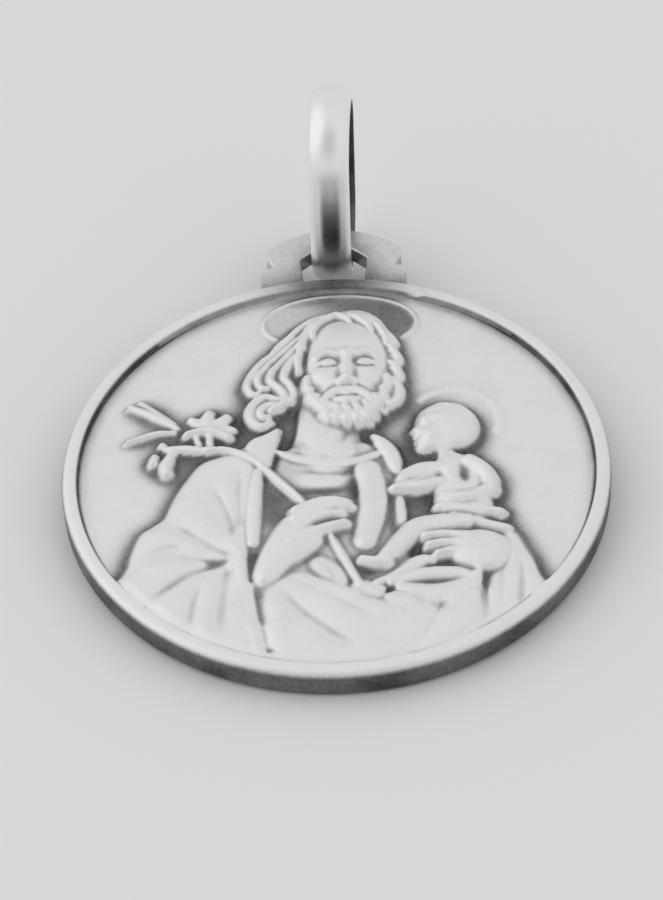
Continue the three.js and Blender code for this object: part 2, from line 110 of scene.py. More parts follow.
class NodeMaker:  # adds nodes to a material's, a world's or a geometry tree
    def __init__(self, tree):
        self.tree = tree
        tree.nodes.clear()

    def node(self, kind, settings=None, sockets=None, output=0):
        made = self.tree.nodes.new(kind)
        for name, value in (settings or {}).items():
            setattr(made, name, value)
        for name, value in (sockets or {}).items():
            if isinstance(value, Signal):
                self.tree.links.new(value.socket, made.inputs[name])
            else:
                made.inputs[name].default_value = value
        return Signal(self, made.outputs[output]) if len(made.outputs) else None

    def mixColor(self, factor, first, second):
        sockets = {0: factor, 6: first, 7: second}  # a Mix node's factor and its two colours
        return self.node("ShaderNodeMix", {"data_type": "RGBA"}, sockets, output=2)

    def noise(self, place, scale, detail, roughness=0.55):
        return self.node("ShaderNodeTexNoise", {}, {
            "Vector": place, "Scale": scale, "Detail": detail, "Roughness": roughness})


def grey(value):
    return (value, value, value, 1.0)


# The relief stands from the back to the front. Places are hundredths of the medal's radius, heights are
# hundredths of the relief's full height. A sheet falls by its drop towards its outline, over its edge. A limb
# is round along a run of (x, y, half width), and strands=(grooves, depth) cuts it lengthwise. A trench sinks
# what lies round a form. Forms carry folds (x0, y0, x1, y1, bend in per cent, width, height), sharp locks and
# soft creases (width, height, points), and mounds (x, y, half width, half height, turn in degrees, height).
# Limbs that share the rest have rows of (top, run).
def limb(name, top, drop, run, trench=4, **more):
    return {"name": name, "kind": "limb", "top": top, "drop": drop, "run": run, "trench": trench, **more}


def limbs(name, drop, rows, **more):
    return [limb(name, top, drop, run, **more) for top, run in rows]


def sheet(name, top, drop, edge, outline, trench=4, **more):
    return {"name": name, "kind": "sheet", "top": top, "drop": drop, "edge": edge, "outline": outline,
            "trench": trench, **more}


def strokes(name, **more):  # strokes and mounds on whatever lies there
    return {"name": name, "kind": "strokes", **more}


faceMiddle = 4.5


def acrossFace(x):  # the same place on the other half of the face
    return 2 * faceMiddle - x


def strokePairs(rows):
    twins = [(width, height, [(acrossFace(x), y) for x, y in points]) for width, height, points in rows]
    return rows + twins


def moundPairs(rows):
    twins = [(acrossFace(x), y, wide, high, -turn, height) for x, y, wide, high, turn, height in rows]
    return rows + twins


reliefForms = [
    sheet("right cloak", top=44, drop=36, edge=6, trench=0, outline=[
        (57, -28), (63, -32), (66.5, -38), (69.8, -46), (72.5, -56), (77, -62), (84, -70), (74, -86),
        (50, -96), (47, -80), (48.5, -66), (51, -55), (54, -45), (56, -36)
    ], creases=[
        (1.7, 9, [(61.2, -36), (60.8, -52), (59.6, -68), (58.8, -80)]),
        (3.8, -11, [(59.4, -46), (59, -60), (57.6, -80)]),
        (1.7, -8, [(64.8, -38), (65, -54), (64, -70), (63, -80)]),
        (2.4, 6, [(68.4, -46), (69.4, -58), (68.6, -72)]),
        (1.2, -5, [(50.6, -58), (51.8, -68), (52.6, -82)]),
        (1.4, 6, [(53.4, -60), (54.4, -70), (54.6, -82)])
    ]),
    sheet("tunic", top=36, drop=10, edge=4, trench=0, outline=[
        (-24, -2), (-19, 8), (-6, 12), (8, 12), (16, 8), (21, -2), (25, -18), (26, -40), (24, -60),
        (-12, -64), (-30, -56), (-30, -20)
    ], folds=[
        (-18, -13.5, 7, -13, -2, 1, -9), (-17, -4, 18, -3, -2, 0.9, -8), (-17, -8.5, 6, -8.5, -1, 3, 5),
        (6, -6, 8, -20, 0, 1.1, -12), (20, -6, 20, -38, 1, 1.2, -12), (23, -10, 23.5, -36, 0, 1.6, 9),
        (7, -42, 14, -58, 0, 2.2, -8), (-24, -6, -23, -34, 2, 3.2, -13)
    ]),
    limb("neck", top=50, drop=24, trench=0, run=[
        (-1, 30, 13), (-2.5, 16, 12.5), (-3, 6, 14)
    ], folds=[
        (-10, 24, -6, 5, 1, 2.2, 4), (7, 22, 0, 5, -1, 1.4, -8), (-13, 14, -8, 3, 0, 1.4, -5),
        (-6, 6, -1, 1, 0, 1.5, -6)
    ]),
    limb("collar", top=46, drop=9, trench=3, run=[
        (-21, 6.5, 1.4), (-13, 2.4, 1.7), (-2, 0.4, 1.8), (8, 0.8, 1.8), (16, 4.5, 1.4)
    ]),
    sheet("right lapel", top=54, drop=16, edge=3, outline=[
        (12.5, 14.5), (17.5, 13), (22.5, 7), (24.5, -1), (23, -7), (19.5, -4), (17, 3), (14, 9)
    ]),
    sheet("lower robe", top=50, drop=10, edge=5, trench=0, outline=[
        (-34, -58), (-20, -55), (-12, -53), (-2, -58), (10, -62), (22, -64), (34, -62), (44, -58),
        (50, -56), (53, -76), (54, -92), (20, -102), (-12, -103), (-34, -99), (-34, -86), (-34, -72)
    ], creases=[
        (1.8, -13, [(-21, -58.4), (-13.4, -69), (-3.3, -79.2), (9, -89)]),
        (1.5, -9, [(-18, -55), (-7.3, -61), (2.9, -68.3), (16, -77.4)]),
        (1.5, -10, [(38, -66), (32, -79), (24, -93)]),
        (2.6, 9, [(-21.4, -62), (-20.4, -74), (-19.6, -86)]),
        (3.6, 9, [(-13, -57.6), (0, -69), (15, -82)]), (4, 6, [(28, -72), (24, -84), (16, -94)]),
        (4, 6, [(44, -66), (42, -78), (40, -90)]), (1.3, -10, [(49.4, -58), (50.4, -70), (50.8, -84)]),
        (3.6, 6, [(-14, -73), (-8, -83), (-1, -93)]), (1.6, -9, [(5, -63.6), (13, -66.4), (22, -66.8)]),
        (2, 7, [(-8, -55.6), (6, -64.4), (20, -74)])
    ]),
    limb("hanging fold", top=62, drop=24, run=[
        (11.5, -4, 4.8), (13.4, -16, 5.2), (12.2, -28, 5), (10.2, -38.5, 4.2)
    ], folds=[
        (9.5, -8, 10, -34, 2, 1.4, 4), (15.5, -8, 15, -32, 2, 1, -5)
    ]),
    limb("robe tuft a", top=45, drop=14, trench=3, run=[
        (-6, -49, 4), (-1, -54, 5), (1, -59, 3.6)
    ], folds=[
        (-6, -46, 0, -60, 6, 0.9, -6)
    ]),
    limb("robe tuft b", top=50, drop=14, trench=3, run=[(8, -60, 3.4), (14, -62, 3.6)]),
    limb("robe tuft c", top=53, drop=16, trench=3, run=[(20, -66, 4), (31, -69, 4.6)]),
    sheet("left cloak", top=52, drop=42, edge=7, trench=3, outline=[
        (-20.6, 16.6), (-28.7, 13.9), (-40, 8.5), (-50, 3.3), (-56, -6), (-60.2, -15.4), (-62.8, -23.5),
        (-66.5, -27.2), (-71.2, -31.5), (-74.5, -41), (-77.5, -51.5), (-88, -64), (-80, -78), (-62, -90),
        (-45, -98), (-30, -102), (-24, -95), (-25.5, -82), (-28.5, -62), (-29.5, -50), (-28.5, -40),
        (-27, -20), (-25, -4), (-22, 6)
    ], creases=[
        (1.5, -12, [(-46.4, -9), (-40.2, -20.6), (-37.4, -31), (-37, -37)]),
        (2, -14, [(-64, -25.4), (-54.4, -31.6), (-45.8, -38.8), (-38.4, -42.8), (-35, -41)]),
        (1.4, -13, [(-61, -43.2), (-49, -45.6), (-40, -46.6), (-36, -45.4)]),
        (1.8, -16, [(-68, -67.4), (-59.7, -59.2), (-51.7, -52.7), (-43.5, -48.8), (-37.4, -47.4)]),
        (2.2, -11, [(-74, -55), (-67.8, -43.6), (-59.4, -39), (-50, -40.6)]),
        (1.6, -11, [(-51.6, -82), (-50, -67), (-47, -54)]),
        (2.4, -15, [(-40.8, -87), (-39.9, -68), (-38.8, -54), (-37.2, -47.6)]),
        (1.6, -12, [(-35.2, 0), (-35, -16), (-34.6, -26), (-34.6, -36)]),
        (4, 8, [(-57, -15), (-50, -24), (-42, -35)]), (2.6, 7, [(-68, -33), (-57, -36), (-46, -42)]),
        (2.2, 7, [(-70, -49), (-58, -48), (-45, -47.6)]), (3.4, 8, [(-64, -74), (-56, -63), (-46, -53)]),
        (2.4, 8, [(-45.6, -85), (-45, -68), (-43, -54)]),
        (2.4, 6, [(-39.6, -2), (-38.8, -14), (-37.4, -26)])
    ]),
    limb("cuff edge", top=56, drop=9, run=[
        (-28, -3, 1.6), (-28.8, -12, 2.2), (-29.4, -26, 2.4), (-29.6, -38, 2)
    ]),
    limb("hanging sleeve", top=54, drop=12, trench=2, run=[
        (-33.8, -43, 2), (-33.2, -55, 2.6), (-31.2, -69, 3), (-28.2, -83, 2.4), (-27, -90, 1.6)
    ], folds=[
        (-34.6, -52, -31.5, -78, 3, 0.9, -6)
    ]),
    sheet("left lapel", top=58, drop=12, edge=3, outline=[
        (-20, 18.5), (-26, 15.5), (-32, 12), (-32.5, 5), (-29, -1), (-24.5, -4), (-22.5, 4)
    ]),
    strokes("gap under the sleeve", creases=[
        (2.9, -17, [(-27.6, -56), (-26.8, -66), (-25.2, -78)]),
        (1.5, -10, [(-25.8, -72), (-24.8, -81), (-22.4, -89)]),
        (1.2, -9, [(-28.5, -41), (-28, -50), (-28.4, -58)])
    ], mounds=[
        (-22.8, -88.4, 2.9, 1.8, 0, -16), (-40, -87.6, 4.2, 1.4, 0, -12)
    ]),
    sheet("cloth behind the loop", top=34, drop=4, edge=3, trench=0, outline=[
        (18, -56), (30, -52), (44, -54), (50, -58), (46, -64), (34, -67), (24, -64)
    ]),
    limb("cloth roll a", top=54, drop=18, trench=3, run=[
        (13.6, -58.4, 1.2), (19.4, -56.2, 2.2), (25, -52.6, 3.2), (29.6, -48.8, 3.4), (34, -48.6, 2)
    ], locks=[
        (0.9, -6, [(19, -57), (25, -53.4), (29.4, -49.8)])
    ]),
    limb("cloth roll b", top=56, drop=20, trench=2, run=[
        (19, -58.6, 1.6), (26, -56.4, 2.6), (33, -54.6, 3.2), (42, -54.8, 3.2), (48.4, -57, 2.4)
    ]),
    limb("cloth loop", top=55, drop=15, trench=2, run=[
        (22.4, -61, 2.4), (27, -62.6, 3.4), (34, -63.8, 3.9), (41, -62.6, 4), (47, -59, 3.2),
        (49.6, -54.6, 2)
    ]),
    strokes("cloth below the loop", creases=[
        (1.6, -9, [(25, -66.4), (33, -69.8), (41, -69)]), (2.4, 6, [(24, -70), (33, -74), (42, -73)])
    ]),
    limb("child neck", top=55, drop=22, trench=3, run=[(40, 4.6, 3.6), (41, 0.4, 4.8)]),
    sheet("child torso", top=68, drop=26, edge=6, outline=[
        (36, -1.5), (40, 3), (46, 2.6), (51, -1), (54.5, -8), (55.2, -16), (56.5, -26), (52, -31),
        (44, -31), (37.5, -28), (35, -22), (35.2, -15), (36.6, -9)
    ], mounds=[
        (42, -6.5, 4.2, 3.6, 20, 6), (43.5, -13, 3.6, 3, 0, 3), (40, -20, 3.4, 4, 0, 5),
        (46.4, -8.4, 2.2, 4.4, 6, -36)
    ]),
    sheet("child far hand", top=56, drop=18, edge=3, trench=0, outline=[
        (37, -3), (30, -2.4), (24, -5), (20.5, -11), (20.5, -15), (27, -17), (37, -15)
    ]),
    limb("child far arm", top=66, drop=18, trench=3, run=[
        (38, -4.6, 3.4), (31, -4.6, 3.2), (26, -7.2, 2.8), (23.5, -10, 1.8)
    ]),
    limb("child far forearm", top=73, drop=20, strands=(3, 4), run=[
        (37, -12, 2.4), (30, -13.6, 2.9), (24.5, -13.6, 2.7), (21, -14.2, 1.6)
    ]),
    limb("child leg", top=80, drop=26, run=[
        (46, -31.5, 3.6), (37, -32.2, 4.6), (29.5, -33.6, 4.7), (24.5, -38.2, 4.2), (20, -44, 3.7),
        (16.5, -48, 2.8)
    ], mounds=[
        (27.5, -33, 3, 3, 0, 4)
    ]),
    limb("child foot", top=76, drop=18, strands=(2, 3), run=[
        (17.5, -49.5, 2.6), (13, -49.2, 2.2), (9, -48, 1.4)
    ]),
    limb("waist cloth", top=74, drop=14, strands=(2, 5), run=[
        (36.5, -23.8, 1.2), (43, -25.2, 2.2), (51, -25.8, 2.3), (58.5, -27.6, 1.9)
    ]),
    limb("waist knot", top=68, drop=14, strands=(2, 4), run=[
        (41.5, -28.6, 1.4), (50, -31.4, 2), (56, -33.6, 2), (60.5, -35, 1.6)
    ]),
    limb("child near arm", top=84, drop=34, run=[
        (48.6, -2.2, 3.6), (52.4, -5.6, 3.7), (55, -10.6, 3.5), (55.6, -15.6, 3.2)
    ]),
    limb("child near forearm", top=86, drop=34, run=[
        (55.2, -16.6, 3.2), (49.5, -19.8, 3), (44, -20.6, 2.8), (38.4, -19.6, 2.2)
    ], locks=[
        (0.5, -8, [(41.4, -19), (39, -18.4), (36.8, -18.2)]),
        (0.5, -8, [(41.4, -21), (39, -20.6), (36.8, -20.2)])
    ]),
    sheet("left hand", top=84, drop=28, edge=7, outline=[
        (44, -37), (50, -35.6), (56, -37), (60.3, -41), (60.8, -47), (57.5, -52.6), (51.5, -54.6),
        (45, -52.2), (40.5, -48.5), (39.5, -44), (41, -39)
    ], folds=[
        (53, -39, 44, -39.4, 0, 1.2, 3), (54, -43, 44, -42.6, 0, 1.2, 3), (53, -47, 44, -46, 0, 1.2, 3)
    ]),
    *limbs("left finger", drop=16, rows=[
        (80, [(46, -38.8, 2.1), (38, -38, 1.8), (31.2, -38.4, 1.2)]),
        (80, [(46, -42.4, 2.1), (38.5, -42, 1.8), (32.5, -42.4, 1.1)]),
        (78, [(46, -46, 2.1), (40, -46, 1.8), (35.5, -46.6, 1.1)]),
    ]),
    sheet("child head", top=86, drop=36, edge=9, soft=0.8, outline=[
        (31.6, 24.4), (30, 20.4), (29.4, 17.6), (27.8, 14.6), (28.8, 12.6), (28.6, 11.4), (29.2, 10.2),
        (28.8, 9), (29.6, 7.6), (29.8, 5.6), (32, 3.8), (36, 4), (40.6, 4.6), (47, 6.4), (51.6, 11.4),
        (52.6, 17.6), (50.2, 24), (45, 28), (39.6, 28.8), (35.2, 27.2)
    ], folds=[
        (29, 10.3, 31.8, 10.6, 0, 0.5, -16), (30.4, 19.8, 35.2, 19.8, -10, 0.9, 10),
        (30.8, 17.6, 34.6, 17.4, 16, 0.5, 12), (36, 7, 42, 9, 8, 1.3, -7),
        (38.6, 9.4, 38.4, 17, 4, 0.9, -7), (30.2, 14.6, 33, 13, 0, 0.8, -6)
    ], locks=[
        (0.8, 6, [(33.5, 22.4), (36, 25), (39.6, 24.4), (41, 21.4)]),
        (0.8, 6, [(36.4, 26.6), (40.4, 27), (44, 24.6), (44.6, 21.4)]),
        (0.8, 6, [(42.8, 27), (47, 25.4), (48.6, 22), (47, 19)]),
        (0.8, 6, [(49.4, 23.4), (50.6, 19.4), (49, 15.8)]),
        (0.8, 6, [(44.8, 19.2), (47.4, 16), (46.6, 12.6)]),
        (0.7, -7, [(34.4, 21), (38.6, 22.6), (42.8, 19), (45.2, 17.2)]),
        (0.7, -7, [(38.6, 26), (43.2, 23), (44, 19.2)]), (0.7, -7, [(45.8, 23.2), (48, 18.8), (47.6, 14)]),
        (0.8, 6, [(37.8, 20.4), (40.6, 21), (42.6, 17.2)]),
        (0.7, -6, [(33.4, 19.8), (36.4, 16.4), (39.2, 18.6)]),
        (0.8, 5, [(44.6, 12.4), (48, 10.6), (49, 13)])
    ], mounds=[
        (35, 11, 3.6, 3, 0, 8), (32.2, 17, 2.6, 1.9, 0, -13), (32.4, 16.8, 1.3, 0.9, 0, 14),
        (41.3, 12.6, 2, 2.8, 0, 12), (41.4, 12.2, 0.9, 1.4, 0, -13), (30.4, 13.4, 1.4, 1, 0, 6)
    ]),
    sheet("left hair", top=34, drop=26, edge=5, outline=[
        (-2, 78), (-9, 74.5), (-16, 66.5), (-23, 58.5), (-29.5, 50.5), (-33, 42.5), (-31.4, 36),
        (-30.5, 31.5), (-31.8, 27), (-30.8, 21.5), (-27, 18.5), (-22, 21), (-18, 28), (-14, 36), (-11, 46),
        (-9, 58), (-4, 68)
    ]),
    *limbs("hair lock", drop=34, strands=(2, 11), rows=[
        (62, [
            (-15.5, 66, 1.3), (-21.5, 59.6, 2.3), (-27.2, 53.6, 2.5), (-31.2, 47, 2.4), (-32.8, 40.8, 2.1),
            (-30.4, 36.4, 1.4), (-27.8, 37.8, 0.8)]),
        (66, [
            (-0.5, 77.6, 1.5), (-7, 76, 2.2), (-12.8, 71.4, 2.5), (-17, 66.4, 2.3), (-21.4, 61.6, 1.9),
            (-24, 57.6, 0.9)]),
        (68, [
            (-10, 70.6, 1.3), (-14.6, 64.4, 2.3), (-20, 57.6, 2.5), (-25.4, 51.2, 2.4), (-28.8, 45.2, 2.2),
            (-28.2, 40.4, 1.7), (-25.4, 38.8, 0.9)]),
    ]),
    limb("hair lock d", top=66, drop=34, strands=(1, 8), run=[
        (-21.4, 33, 1.3), (-25.8, 34.8, 2), (-30, 31.8, 2.2), (-31.8, 27, 2.2), (-30.6, 22, 2.1),
        (-27, 19.4, 1.9), (-24, 21.4, 1.2)
    ]),
    limb("hair lock e", top=68, drop=34, strands=(1, 6), run=[
        (-20.4, 29.8, 1.2), (-24.8, 30.4, 1.8), (-27.8, 27.4, 1.8), (-27.2, 24.2, 1.4), (-25, 24, 0.9)
    ]),
    limb("hair lock f", top=74, drop=34, strands=(2, 11), run=[
        (-10.6, 67, 1.3), (-15, 60, 2.3), (-19.2, 53.6, 2.5), (-23.2, 47.8, 2.4), (-24.2, 42.8, 2.3),
        (-20.6, 38.4, 2.3), (-18.6, 33.6, 2.3), (-20.2, 29, 1.8), (-23.6, 27.4, 1)
    ]),
    limb("hair lock g", top=72, drop=34, strands=(1, 8), run=[
        (-11.6, 62.4, 1.2), (-14.8, 56, 2), (-17.8, 50, 2.3), (-19.2, 44.8, 2), (-16.8, 40.2, 1.8),
        (-15.4, 35.8, 1.5), (-16.2, 31.6, 0.9)
    ]),
    limb("hair lock h", top=74, drop=34, run=[(-12.2, 58.4, 1.1), (-13.8, 52.4, 1.6), (-13.4, 47, 1)]),
    strokes("hair partings", locks=[
        (0.6, -15, [(-5, 75.6), (-12, 69.4), (-18.6, 61.6), (-24.6, 54.4), (-29.4, 46.6)]),
        (0.6, -15, [(-9.6, 69), (-14.4, 62.6), (-20, 55.8), (-25, 49)]),
        (0.5, -13, [(-11.6, 64.6), (-15.6, 57), (-20.6, 49.6), (-22, 44)]),
        (0.5, -12, [(-18, 64.6), (-24, 58), (-28.8, 51.6)])
    ]),
    limb("right hair", top=46, drop=26, run=[
        (13, 73.5, 4), (18, 67.5, 3.6), (20.8, 60, 3.2), (21.6, 50, 3), (21.4, 40, 3.2), (20, 31, 3.2),
        (18, 26, 2.6)
    ]),
    *limbs("right curl", drop=32, strands=(1, 7), rows=[
        (68, [(17.6, 70.4, 1.2), (20.8, 66.2, 1.8), (22.6, 61.6, 1.8), (21.4, 57.6, 1.1)]),
        (68, [(20.6, 60, 1.1), (23.2, 56, 1.8), (23.8, 51.6, 1.8), (22, 48, 1.1)]),
        (68, [(20.8, 51.4, 1.1), (23.6, 47, 1.9), (23.8, 42.4, 1.9), (21.6, 39, 1.1)]),
        (68, [(21, 42.6, 1.1), (23.8, 38, 2), (23.2, 32, 2), (20, 28.4, 1.4)]),
    ]),
    sheet("face", top=84, drop=36, edge=10, outline=[
        (4.5, 75), (-3.6, 72.6), (-9, 65), (-10.8, 54), (-10.6, 43), (-8.6, 32), (-4, 23), (4.5, 19.4),
        (13, 23), (17.8, 32), (19.6, 43), (19.8, 54), (18, 65), (12.6, 72.6)
    ], locks=[
        (1.8, 21, [(4.5, 57), (4.5, 50), (4.5, 44), (4.5, 38.6)]),
        (0.6, -24, [(-0.4, 31.5), (2.4, 31.9), (4.5, 31.5), (6.6, 31.9), (9.4, 31.5)]),
        *strokePairs([
            (1.1, 15, [(1.6, 53), (-1.5, 54.6), (-5.4, 54.2), (-8.4, 51.8)]),
            (0.55, 12, [(0.6, 49), (-1.4, 51), (-4, 50.8), (-6, 49)]),
            (0.5, -12, [(0.8, 50.6), (-1.4, 52.4), (-4, 52.2), (-6.2, 50.4)]),
            (0.75, -20, [(0.8, 48.8), (-1.4, 47.5), (-4, 47.4), (-6.2, 48.6)]),
            (0.7, 9, [(0.2, 47.2), (-2.6, 45.8), (-5.8, 47)]),
            (0.8, -13, [(1, 38), (-2, 35.6), (-4, 32.8)]),
        ])
    ], mounds=[
        (4.5, 63, 9, 6, 0, 8), (4.5, 39.6, 2.3, 2, 0, 19), (4.5, 29.6, 3.4, 1.3, 0, 16),
        (4.5, 33, 3.2, 0.9, 0, 8),
        *moundPairs([
            (-2.4, 50.2, 4.4, 3.2, 0, -17), (1.3, 50, 1.4, 2.2, 0, -13), (-2.4, 49.2, 2.9, 1.6, 0, 15),
            (-5.8, 43, 4, 2.8, 20, 13), (-5.6, 36.4, 3, 3.4, 20, -12), (1.8, 38.9, 1.3, 1.2, 0, 13),
            (3.1, 36.6, 1, 0.7, 0, -24), (1.2, 43, 1.5, 3.6, 0, -12),
        ])
    ]),
    sheet("beard", top=78, drop=22, edge=3.4, outline=[
        (-11, 46), (-11.2, 37), (-8.6, 28.4), (-5, 21.4), (-0.6, 18.4), (4.5, 18), (9.6, 18.4), (14, 21.4),
        (17.6, 28.4), (20.2, 37), (20, 46), (18, 42), (15.8, 35), (12.2, 31), (9, 27.8), (4.5, 26.8),
        (0, 27.8), (-3.2, 31), (-6.8, 35), (-9, 42)
    ]),
    *limbs("beard lock", drop=13, trench=2, rows=[
        (84, [(-10.4, 43, 0.9), (-10.8, 38.6, 1.3), (-9.6, 34.6, 1)]),
        (86, [(-9.2, 36.8, 1), (-9.2, 32, 1.5), (-7.2, 28.8, 1)]),
        (88, [(-6.8, 33, 1), (-6.4, 28.6, 1.6), (-4.2, 25.4, 1.3), (-4.8, 23, 0.8)]),
        (90, [(-3.8, 30, 1.1), (-2.4, 26.2, 1.7), (-3.6, 22.6, 1.4), (-2, 20.4, 0.9)]),
        (91, [(-0.8, 27.6, 1.1), (1, 24.4, 1.7), (-0.4, 21.4, 1.4), (0.8, 19.6, 0.9)]),
        (92, [(3.4, 26.8, 1.1), (4.8, 23.6, 1.7), (3.4, 20.8, 1.4), (4.4, 19.2, 0.9)]),
        (91, [(7.4, 27.2, 1.1), (8.8, 24, 1.7), (7.4, 21.2, 1.4), (8.6, 19.4, 0.9)]),
        (90, [(11.2, 29, 1.1), (12.4, 25.4, 1.7), (11, 22.2, 1.4), (12, 20.4, 0.9)]),
        (88, [(14.6, 32.4, 1), (15.8, 28.4, 1.6), (13.8, 25.4, 1.3), (14.2, 23, 0.8)]),
        (86, [(18, 36.8, 1), (18.2, 32, 1.5), (16.2, 28.8, 1)]),
        (84, [(19.4, 43, 0.9), (19.8, 38.6, 1.3), (18.6, 34.6, 1)]),
    ]),
    limb("left moustache", top=96, drop=20, strands=(1, 7), run=[
        (4.2, 35.4, 0.8), (1, 35, 1.6), (-2.4, 32.6, 1.7), (-4.4, 29, 0.9)
    ]),
    limb("right moustache", top=96, drop=20, strands=(1, 7), run=[
        (4.8, 35.4, 0.8), (8, 35, 1.6), (11.4, 32.6, 1.7), (13.4, 29, 0.9)
    ]),
    limb("crown hair", top=70, drop=32, strands=(1, 8), run=[
        (-1, 77.4, 1.2), (5, 78.4, 1.9), (11, 77.6, 2.3), (16, 73.8, 2.3), (19.4, 68.4, 1.4)
    ]),
    limb("left brow hair", top=82, drop=32, strands=(1, 8), run=[
        (1.2, 76.4, 1.1), (-4, 75.2, 2), (-8.6, 70.8, 2.3), (-11.2, 64.8, 2), (-11.8, 59, 1.1)
    ]),
    limb("left temple hair", top=78, drop=32, run=[(-9.6, 68, 0.9), (-12.6, 62.6, 1.6), (-13.4, 57, 1)]),
    *limbs("top tuft", drop=32, strands=(1, 8), rows=[
        (84, [(1.4, 76, 1.1), (6, 76, 1.9), (10, 74, 1.9), (12.6, 71, 1)]),
        (82, [(8.6, 76.4, 1.1), (13, 74.4, 2), (16.4, 70.4, 1.9), (18, 66, 1)]),
    ]),
    limb("top tuft c", top=78, drop=32, run=[(15.6, 71.4, 1), (18.6, 66.6, 1.5), (19.8, 61, 1)]),
    *limbs("brow lock", drop=20, trench=3, strands=(1, 6), rows=[
        (88, [(-0.6, 76.2, 1), (-5.4, 73.2, 1.6), (-8, 68.6, 1.4), (-8.2, 64.4, 0.6)]),
        (88, [(5.4, 76.6, 1), (9.6, 74.2, 1.7), (13, 70.2, 1.4), (14.2, 66.4, 0.6)]),
    ]),
    limb("brow lock c", top=86, drop=20, trench=3, run=[
        (0.4, 77, 0.9), (4.4, 74.6, 1.4), (6.2, 71.6, 0.7)
    ]),
    limb("low stalk", top=56, drop=14, run=[
        (-3, -34, 1.3), (1, -43, 1.35), (5, -52, 1.4), (8.5, -60, 1.3)
    ]),
    sheet("right hand", top=82, drop=26, edge=7, outline=[
        (-25.9, -58.8), (-29.4, -55), (-28.3, -48), (-26, -41.4), (-22.2, -32.7), (-17.7, -26),
        (-11.7, -20.8), (-8, -21), (-8, -28), (-5.5, -34), (-4.6, -38), (-7.2, -42.4), (-12.4, -47.2),
        (-17.1, -51), (-21, -56)
    ], folds=[
        (-25, -51, -13.5, -27, 2, 1.4, 3), (-21, -50, -11, -31, 2, 1.4, 3),
        (-17, -24.6, -9.5, -34, 6, 0.9, -4)
    ]),
    limb("ring finger", top=82, drop=12, run=[
        (-13.5, -32, 2.2), (-8.5, -28.8, 2), (-3, -26.8, 1.7), (2.4, -26.6, 1.1)
    ]),
    limb("index finger", top=86, drop=12, run=[
        (-14.5, -25.2, 2.3), (-8, -21.6, 2.1), (-2, -20.3, 1.8), (4, -21.2, 1.2)
    ]),
    limb("middle finger", top=87, drop=12, run=[
        (-14.5, -28.6, 2.3), (-8, -25, 2.1), (-1.5, -23.3, 1.8), (5.2, -23.4, 1.2)
    ]),
    strokes("slit at the thumb", folds=[(-9.4, -32.2, 2.4, -28.6, 3, 0.9, -22)]),
    limb("thumb", top=84, drop=14, run=[(-15, -39.5, 3), (-9, -36, 2.7), (-3, -33, 2.1), (3.4, -31, 1.3)]),
    limb("high stalk", top=66, drop=14, run=[
        (-47, 8, 1.6), (-40, 7.6, 1.4), (-34, 5, 1.35), (-28, 0, 1.3), (-21, -8.5, 1.3), (-14, -17, 1.3),
        (-12, -20, 1.2)
    ]),
    limb("thin bud", top=40, drop=24, trench=3, run=[(-59, 23, 0.7), (-66.5, 29.6, 1.2), (-73, 35.4, 0.6)]),
    limb("upper bud", top=48, drop=28, strands=(1, 5), run=[
        (-58.5, 20.8, 0.8), (-65, 25.4, 1.7), (-71, 29.6, 1.6), (-76.5, 33, 0.6)
    ]),
    limb("lower bud", top=46, drop=28, strands=(1, 5), run=[
        (-59.5, 18.6, 0.8), (-65, 18.6, 1.7), (-71, 16.8, 1.6), (-76.5, 14.8, 0.6)
    ]),
    limb("leaf", top=58, drop=26, strands=(1, 5), run=[(-62, 9.6, 1.2), (-55, 9.2, 2.5), (-46, 8, 2.2)]),
    limb("far petal", top=52, drop=28, strands=(1, 6), run=[
        (-48, 20, 2.2), (-51.4, 23, 2.8), (-53.4, 24.6, 1.6)
    ]),
    limb("middle petal", top=58, drop=30, strands=(1, 7), run=[
        (-46.6, 20, 2.4), (-47.2, 24.6, 3.2), (-46.8, 27.4, 2)
    ]),
    limb("right petal", top=60, drop=30, strands=(1, 7), run=[
        (-44.6, 19.6, 2.4), (-41.8, 22.8, 3.2), (-40.2, 25, 2)
    ]),
    limb("side petal", top=58, drop=28, strands=(1, 6), run=[
        (-43.4, 17.8, 2), (-39.6, 18.6, 2.6), (-37.8, 18.4, 1.6)
    ]),
    limb("flower throat", top=54, drop=24, run=[(-46.5, 15.4, 1.7), (-46, 10.6, 1.4)]),
    limb("flower throat side", top=50, drop=24, run=[(-51.5, 15.4, 1.3), (-50, 11.4, 1.2)]),
    limb("lip petal", top=66, drop=30, strands=(2, 6), run=[
        (-54.6, 16.4, 1.5), (-50.4, 17.6, 2.4), (-44.4, 17.2, 2.6), (-39, 14.4, 1.6)
    ]),
    limb("left bell", top=60, drop=28, strands=(1, 5), run=[(-60, 7, 1.8), (-62, 1, 3), (-61.5, -2, 2.5)]),
    *limbs("bud tip", drop=28, rows=[
        (54, [(-66.3, 6, 1.7), (-66.8, 2.6, 1.9)]),
        (52, [(-63.6, 11.8, 1.8)]),
    ]),
]

haloArcs = [
    {"x": 2, "y": 76.5, "a": 29.3, "b": 15, "start": -42, "end": 222, "width": 0.7, "height": 16},
    {"x": 44.2, "y": 22.5, "a": 16.4, "b": 16.6, "start": -30, "end": 148, "width": 1.6, "height": 8},
]


def smoothStep(low, high, value):
    t = np.clip((value - low) / (high - low), 0, 1)
    return t * t * (3 - 2 * t)


